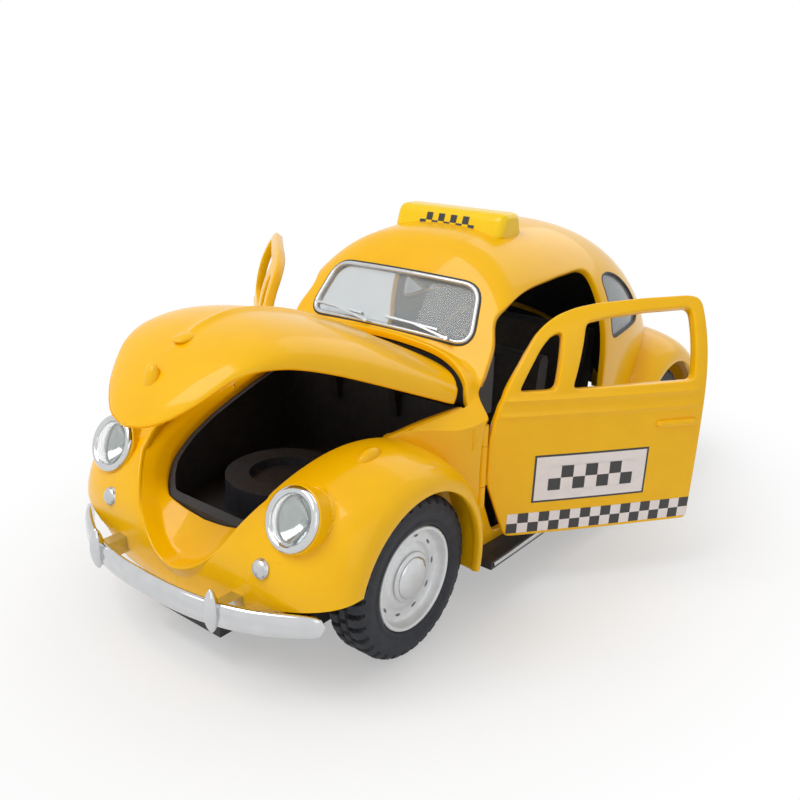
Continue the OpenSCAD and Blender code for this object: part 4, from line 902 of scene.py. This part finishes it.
pane("windscreen_glass", screen_outline(PANE_EASE), "windscreen_pane")
pane("rear_glass", rear_outline(PANE_EASE), "rear_pane")
for name, sign in (("left", 1), ("right", -1)):
    pane("quarter_glass_" + name, quarter_outline(PANE_EASE, sign), "quarter_pane_" + name)
BAR = [(-0.1, -0.5), (-0.1, 0.1), (0.0, 0.28), (0.15, 0.36), (0.32, 0.37), (0.46, 0.32), (0.56, 0.2),
       (0.6, -0.2)]
SEAL = [(0.54, -0.15), (0.56, 0.1), (0.66, 0.17), (0.8, 0.13), (0.86, -0.2)]
add("windscreen_bright_frame", bead(screen_outline(0.0), BAR), SILVER,
    ["windscreen_frame"], 60)
SEAL_IN = [(-0.3, -0.45), (-0.3, -0.1), (-0.1, 0.1), (0.15, 0.12), (0.3, 0.0), (0.34, -0.3)]
SEAL_THIN = [(-0.1, -0.45), (-0.1, -0.1), (0.0, 0.04), (0.14, 0.06), (0.22, 0.0), (0.24, -0.3)]
seals = [bead(screen_outline(0.0), SEAL), bead(rear_outline(0.0), SEAL_IN),
         bead(quarter_outline(0.0, 1), SEAL_THIN), bead(quarter_outline(0.0, -1), SEAL_THIN)]
add("window_seals", merge(seals), BLACK, (), 60)

# Headlamps, horn grilles and tail lamps
ring = lathe(arc(LAMP_R - 0.46, 0.38, 0.5, -40, 220, 22), 80)
bowl_r, bowl_deep = LAMP_R * 0.86, 2.2
bowl = [[bowl_r * k, -bowl_deep * (1 - k * k) + 0.2] for k in np.linspace(0.95, 0.12, 16)]
bowl = lathe([[bowl_r, 0.25]] + bowl + [[LAMP_R * 0.1, -1.3], [0.001, -1.25]], 64)
rings = pair(placed(merge([ring, bowl]), AT_LAMP))
add("headlamp_rings", rings, CHROME, ["headlamp_bezels"], 50)
lens_r = LAMP_R - 0.85
lens = pair(placed(lathe([[lens_r, 0.2]] + arc(0, 0.35, lens_r, 2, 89.5, 18, 0.95), 64), AT_LAMP))
add("headlamp_glass", lens, LENS, ["headlamp_lenses"], 60)
AT_HORN = at_crown(FENDER_W / 2 * 0.57, 161, FENDER_R * 0.955)
horn_r = LAMP_R * 0.32
horn = lathe([[horn_r, -0.3], [horn_r, horn_r * 0.3]]
             + [[horn_r * math.cos(a) * (1 + 0.03 * math.cos(9 * a)), horn_r * (0.35 + 0.6 * math.sin(a))]
                for a in np.radians(np.linspace(4, 89.5, 30))], 40)
horn = pair(placed(horn, AT_HORN))
add("horn_grille_domes", horn, SILVER, ["horn_grilles"], 60)
AT_TAIL = Matrix.Scale(-1, 4, (0, 1, 0)) @ at_crown(FENDER_W / 2 * 0.72, 142, FENDER_R * 0.9)
tail_r = LAMP_R * 0.42
tail = arc(0, tail_r * 0.64, tail_r, 4, 89.5, 20, tail_r * 0.96)
tail = lathe([[tail_r, 0], [tail_r, tail_r * 0.5]] + tail, 48)
tail = pair(placed((tail[0], flipped(tail[1])), AT_TAIL))
add("tail_lamp_lenses", tail, RED, ["tail_lamps"], 60)
rim_ring = lathe(arc(tail_r + 0.1, 0.85, 0.28, -60, 240, 12), 48)
rim_ring = pair(placed((rim_ring[0], flipped(rim_ring[1])), AT_TAIL))
add("tail_lamp_rims", rim_ring, CHROME, (), 60)


# Bumpers
def blunt(c):
    return np.sign(c) * np.abs(c) ** 0.8


def bumper(reach, end):
    wrap, thick, bend = BUMPER_REACH * 2, BUMPER_BAR * 0.42, 2.6
    u = np.linspace(-1, 1, 121)
    a = np.linspace(0, 2 * math.pi, 33)[:-1]
    dx, dy = BUMPER_W / 2, bend * wrap * np.abs(u) ** (bend - 1) * np.sign(u)
    d = np.hypot(dx, dy)
    tip = np.clip((np.abs(u) - 0.96) / 0.04, 0, 1)
    k = np.sqrt(np.maximum(1e-4, 1 - tip ** 2)) * (1 - 0.25 * np.abs(u) ** 12)
    o = thick / 2 * blunt(np.cos(a))[None] * k[:, None]
    crease = 1 - 0.16 * np.exp(-(np.sin(a) / 0.22) ** 2) * (np.cos(a) > 0)
    x = (dx * u)[:, None] + o * (dy / d)[:, None]
    y = (wrap * np.abs(u) ** bend)[:, None] - o * (dx / d)[:, None] * np.where(o > 0, crease[None], 1)
    z = BUMPER_BAR / 2 * blunt(np.sin(a))[None] * k[:, None]
    bar = np.stack([x, y, z], 2).reshape(-1, 3), flipped(grid_tris(121, 32, True))
    over_x, over_r, over_h = BUMPER_W * 0.245, BUMPER_BAR * 0.3, BUMPER_BAR * 1.8
    i = np.linspace(0.004, 0.996, 40)
    over_z = over_h * i - over_h / 2 + BUMPER_BAR * 0.2
    y0 = wrap * (2 * over_x / BUMPER_W) ** bend - thick / 2
    guard = placed(lathe(np.stack([over_r * np.sin(np.pi * i) ** 0.6, over_z], 1), 32), moved(over_x, y0, 0))
    w, h, run = BUMPER_BAR * 0.275, BUMPER_BAR * 0.35, BUMPER_REACH + 2.4 * WALL
    arm = np.array([[sx * w, sy, sz * h] for sy in (0, run) for sx, sz in SQUARE])
    arm = arm, [[i, (i + 1) % 4, (i + 1) % 4 + 4, i + 4] for i in range(4)]
    arm = placed(arm, moved(over_x, y0 + thick * 0.45, 0))
    one = merge([bar, guard, mirrored(guard), arm, mirrored(arm)])
    one = placed(one, moved(0, -reach - BUMPER_REACH, BUMPER_H))
    if end > 0:
        one = one[0] * [1, -1, 1], flipped(one[1]), one[2]
    return one


add("front_bumper_bar", bumper(NOSE, -1), CHROME, ["front_bumper"], 50)
add("rear_bumper_bar", bumper(TAIL, 1), CHROME, ["rear_bumper"], 50)

# Roof sign
SIGN_Y, SIGN_Z = 0.4 * CABIN_RUN - CABIN_LEAD, ROOF_H * 0.955
SIGN_LEN, SIGN_DEEP, SIGN_HIGH, SIGN_FOOT, SIGN_ROUND = 20.4, 7.0, 4.2, 0.1, 1.3
SIGN_FOOT_SHARE, SIGN_FRONT_SHARE, SIGN_REAR_SHARE, SIGN_END_SHARE = 0.5, 0.3, 0.36, 0.68


def sign_block():
    foot, front, rear = (k * SIGN_DEEP for k in (SIGN_FOOT_SHARE, SIGN_FRONT_SHARE, SIGN_REAR_SHARE))
    end = [[-foot, SIGN_FOOT], [foot, SIGN_FOOT], [rear, SIGN_HIGH], [-front, SIGN_HIGH]]
    end = resample(fillet(end, SIGN_ROUND, 9), 0.3)
    mid = np.array([0.0, SIGN_HIGH * 0.45])
    u = np.linspace(-1, 1, 61)
    run = np.clip((np.abs(u) * SIGN_LEN / 2 - (SIGN_LEN / 2 - SIGN_ROUND)) / SIGN_ROUND, 0, 1)
    size = np.sqrt(1 - run ** 2) * (1 - SIGN_END_SHARE) + SIGN_END_SHARE
    rings = []
    for x, k in zip(u * SIGN_LEN / 2, size):
        p = mid + (end - mid) * k
        rings.append(np.stack([np.full(len(p), x), p[:, 0] + SIGN_Y, p[:, 1] + SIGN_Z], 1))
    v, n = np.concatenate(rings), len(end)
    caps = [list(range(n))[::-1], list(range(len(v) - n, len(v)))]
    return v, flipped(grid_tris(len(u), n, True)) + caps


def sign_print():
    """Two rows of squares on the sloped faces of the sign."""
    cell, foot, lift, spots = 1.15, 1.0, 0.04, (0, 0.5, 1)
    parts = []
    for face, top in ((-1, SIGN_FRONT_SHARE), (1, SIGN_REAR_SHARE)):
        lean = (SIGN_FOOT_SHARE - top) * SIGN_DEEP / (SIGN_HIGH - SIGN_FOOT)
        for i, j in [(i, j) for i in range(9) for j in range(2) if (i + j) % 2 == 0]:
            x, z = np.array([[(i - 4.5 + u) * cell, foot + (j + v) * cell] for u in spots for v in spots]).T
            y = SIGN_Y + face * (SIGN_FOOT_SHARE * SIGN_DEEP - lean * (z - SIGN_FOOT) + lift)
            f = grid_tris(3, 3)
            parts.append((np.stack([x, y, SIGN_Z + z], 1), f if face > 0 else flipped(f)))
    return merge(parts)


add("roof_sign_block", sign_block(), SIGN, ["roof_sign"], 50)
add("roof_sign_print", sign_print(), PRINT)

# Wheels
RIM_FACE = TYRE_W / 2 - WALL / 3
WALL_SHARES = [(-0.05, 0.72), (0.1, 0.9), (0.5, 0.98), (0.9, 0.93), (1.1, 0.96), (1.9, 1.0), (2.5, 0.98),
               (2.7, 0.95), (2.9, 0.95)]
SHOULDER_SHARES = [(0.75, 0.93), (0.45, 0.87), (0.2, 0.78), (0.05, 0.66)]
DISH_SHARES = [(0.9, 0.86), (0.885, 0.66), (0.86, 0.58), (0.8, 0.52), (0.7, 0.5), (0.66, 0.5), (0.64, 0.54),
               (0.6, 0.6), (0.54, 0.66)]


def tyre():
    """Tyre about Z, its outer face towards +Z, with block tread and ribbed walls."""
    w, blocks, per, groove, lane_deep, middle_deep = TYRE_W / 2, 34, 12, 0.22, 0.62, 0.4
    wall = [[RIM_R + r, w * k] for r, k in WALL_SHARES] + [[TYRE_R - r, w * k] for r, k in SHOULDER_SHARES]
    tread = [[TYRE_R, z] for z in np.linspace(0.6, -0.6, 25) * w]
    prof = np.array(wall + tread + [[r, -z] for r, z in wall[::-1]])
    n = blocks * per
    a = np.arange(n)
    out = np.repeat(prof[:, None, :], n, 1)
    r, z = out[:, :, 0], out[:, :, 1]
    zs = prof[:, 1] / w
    rib = np.exp(-((np.abs(zs) - groove) / 0.05) ** 2)
    for i in np.nonzero(prof[:, 0] > TYRE_R - 0.8)[0]:
        lane = abs(zs[i]) >= groove
        phase = (a + (per // 2 if lane else 0) + (3 * zs[i])) % per
        cut = np.clip(1.6 - np.abs(phase - per / 2) * 0.75, 0, 1)
        r[i] -= np.maximum((lane_deep if lane else middle_deep) * cut, 0.5 * rib[i])
    ang = a * 2 * math.pi / n
    v = np.stack([r * np.cos(ang), r * np.sin(ang), z], 2).reshape(-1, 3)
    return v, flipped(grid_tris(len(prof), n, True))


def rim():
    f, bore, seat = RIM_FACE, 1.0, RIM_R - 0.02
    prof = [[bore, -f], [seat, -f], [seat, f]] + arc(RIM_R - 0.3, f, 0.28, 0, 180, 9)
    prof += [[RIM_R * a, f * b] for a, b in DISH_SHARES] + [[CAP_R, f * 0.68], [bore, f * 0.68]]
    return lathe(prof, 96)


def slot_shade_marks():
    """Dark grey marks round the rim's dish, painted shade standing in for its slots."""
    at = moved(0, RIM_R * 0.755, RIM_FACE * 0.51)
    return merge([placed(blob([0.5, 0.2, 0.06]), turned(36 * k, "Z") @ at) for k in range(10)])


def cap():
    foot, h, edge, lip = RIM_FACE * 0.66, RIM_FACE * 0.5, 0.16, 0.6
    prof = [[CAP_R, foot], [CAP_R, foot + h * 0.22]] + arc(CAP_R - edge, foot + h * 0.22, edge, 0, 90, 5)
    prof += [[CAP_R - 0.4, foot + h * 0.34], [CAP_R - lip, foot + h * 0.4]]
    return lathe(prof + arc(0, foot + h * 0.42, CAP_R - lip, 6, 89.6, 22, h * 0.58), 72)


WHEEL = (("treaded_tyre_", tyre(), TYRE, "tyre_rubber", "tyre_", 32),
         ("dished_rim_", rim(), RIM, "rim_silver", "rim_", 40),
         ("rim_slot_shade_", slot_shade_marks(), SLOT_SHADE, "rim_silver", "", 40),
         ("hub_cap_", cap(), CHROME, "bright_plating", "cap_", 40))
for end, e in (("front", -1), ("rear", 1)):
    for name, s in (("left", 1), ("right", -1)):
        at = moved(s * TRACK / 2, e * WHEELBASE / 2, TYRE_R) @ turned(s * 90, "Y")
        tag = end + "_" + name
        for piece, part, look, slot, node, sharp in WHEEL:
            nodes = [node + tag] if node else ()
            add(piece + tag, placed(part, at), look, nodes, sharp, end + "_wheels")

# Bright edge of the running boards
lo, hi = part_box("running_board_left")
strip_x, strip_z, strip_ease = hi[0] / MM, (lo[2] + hi[2]) / 2 / MM + RIDE, 0.6
path = [[strip_x, y, strip_z] for y in np.linspace(lo[1] / MM + strip_ease, hi[1] / MM - strip_ease, 40)]
strips = pair(rod(path, 0.16, 0.32, 12))
add("running_board_strips", strips, SILVER, (), 60)

# Frame nodes that stay
LOOKS = (
    (PAINT, "hood_hinge_arms door_knuckle_left door_knuckle_right"),
    (PAINT, "door_hinge_posts_left door_hinge_posts_right"),
    (STEEL, "hood_hinge_pin door_hinge_pin_left door_hinge_pin_right base_screws front_axle rear_axle"),
    (BLACK, "hood_hinge_bracket running_board_left running_board_right base_plate bay_tray cabin_tub"),
    (BLACK, "dashboard steering_wheel"), (INSIDE_BLACK_AND_SHADE, "front_seat_left front_seat_right rear_seat"),
    (SILVER, "wipers"), (CHROME, "exhaust_tips"), (TYRE, "spare_wheel"))
SOFT = ("running_board_left running_board_right base_plate dashboard front_seat_left front_seat_right "
        "rear_seat").split()
SOFT_R = 0.35
for look, names in LOOKS:
    for name in names.split():
        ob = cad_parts[name]
        ob.data.materials.clear()
        ob.data.materials.append(look)
        if name in SOFT:
            mod = ob.modifiers.new("soft_edges", "BEVEL")
            mod.width = SOFT_R * MM
            mod.segments = 3
            mod.limit_method = "ANGLE"
            mod.angle_limit = math.radians(40)

# Floor, light and camera, in metres
FLOOR_R, SHADOW_W, SHADOW_LEN = 3, 0.05, 0.07
scene.view_settings.view_transform = "Standard"
floor_mesh = bpy.data.meshes.new("floor")
floor_mesh.from_pydata([(x * FLOOR_R, y * FLOOR_R, -RIDE * MM) for x, y in SQUARE], [], [(0, 1, 2, 3)])
floor = bpy.data.objects.new("floor", floor_mesh)
scene.collection.objects.link(floor)
floor_look = material("studio_floor", (0.95, 0.95, 0.95), 0.5, vary=0.004, scale=40, specular=0.25)
floor_mesh.materials.append(floor_look)


def seen(nt):
    """1 for rays from the camera and for those that metal or glass sends on."""
    lp = nt.nodes.new("ShaderNodeLightPath")
    out = lp.outputs["Is Camera Ray"]
    for name in ("Is Glossy Ray", "Is Transmission Ray"):
        more = nt.nodes.new("ShaderNodeMath")
        more.operation = "MAXIMUM"
        nt.links.new(out, more.inputs[0])
        nt.links.new(lp.outputs[name], more.inputs[1])
        out = more.outputs[0]
    return out


ft = floor_look.node_tree
new, link = ft.nodes.new, ft.links.new
where = new("ShaderNodeTexCoord")
oval = new("ShaderNodeVectorMath")
oval.operation = "MULTIPLY"
oval.inputs[1].default_value = (1 / SHADOW_W, 1 / SHADOW_LEN, 0)
link(where.outputs["Object"], oval.inputs[0])
far = new("ShaderNodeVectorMath")
far.operation = "LENGTH"
link(oval.outputs["Vector"], far.inputs[0])
fade = put(new("ShaderNodeMapRange"), From_Min=0.7, From_Max=1.4, To_Min=0.4)
fade.interpolation_type = "SMOOTHSTEP"
link(far.outputs["Value"], fade.inputs["Value"])
both = new("ShaderNodeMath")
both.operation = "MULTIPLY"
link(fade.outputs["Result"], both.inputs[0])
link(seen(ft), both.inputs[1])
white = new("ShaderNodeEmission")
blend = new("ShaderNodeMixShader")
link(both.outputs[0], blend.inputs["Fac"])
link(ft.nodes["Principled BSDF"].outputs["BSDF"], blend.inputs[1])
link(white.outputs["Emission"], blend.inputs[2])
link(blend.outputs["Shader"], ft.nodes["Material Output"].inputs["Surface"])

world = bpy.data.worlds.new("studio")
scene.world = world
world.use_nodes = True
wt = world.node_tree
bg = put(wt.nodes["Background"], Color=(1, 1, 1, 1))
strength = put(wt.nodes.new("ShaderNodeMapRange"), To_Min=0.44, To_Max=1.0)
wt.links.new(seen(wt), strength.inputs["Value"])
wt.links.new(strength.outputs["Result"], bg.inputs["Strength"])
LIGHTS = (("key", (-0.1, -0.28, 0.42), (0, -0.01, 0.01), 0.3, 1.2),
          ("fill", (0.42, -0.2, 0.25), (0, 0, 0.02), 0.35, 0.2),
          ("back", (0.0, 0.4, 0.35), (0, 0, 0.02), 0.4, 0.45))
for name, loc, target, size, power in LIGHTS:
    light = bpy.data.lights.new(name, "AREA")
    light.energy = power
    light.shape = "RECTANGLE"
    light.size = light.size_y = size
    ob = bpy.data.objects.new(name, light)
    ob.location = loc
    ob.rotation_euler = (Vector(target) - Vector(loc)).to_track_quat("-Z", "Y").to_euler()
    scene.collection.objects.link(ob)

# Camera at the photograph's place
AZ, EL, ROLL = (math.radians(v) for v in (38.103, 19.445, 1.505))
FOCAL_PX, PICTURE_PX, SENSOR = 894.428, 800, 36
back = Vector((math.sin(AZ) * math.cos(EL), -math.cos(AZ) * math.cos(EL), math.sin(EL)))
right = (-back).cross(Vector((0, 0, 1))).normalized()
upward = right.cross(-back)
r2 = right * math.cos(ROLL) + upward * math.sin(ROLL)
u2 = upward * math.cos(ROLL) - right * math.sin(ROLL)
cam = bpy.data.cameras.new("camera")
cam.sensor_width = SENSOR
cam.lens = FOCAL_PX * SENSOR / PICTURE_PX
cam.clip_start = 0.005
camera = bpy.data.objects.new("camera", cam)
camera.matrix_world = Matrix((r2, u2, back)).transposed().to_4x4()
camera.location = (0.081989, -0.1158, 0.064637)
scene.collection.objects.link(camera)
scene.camera = camera
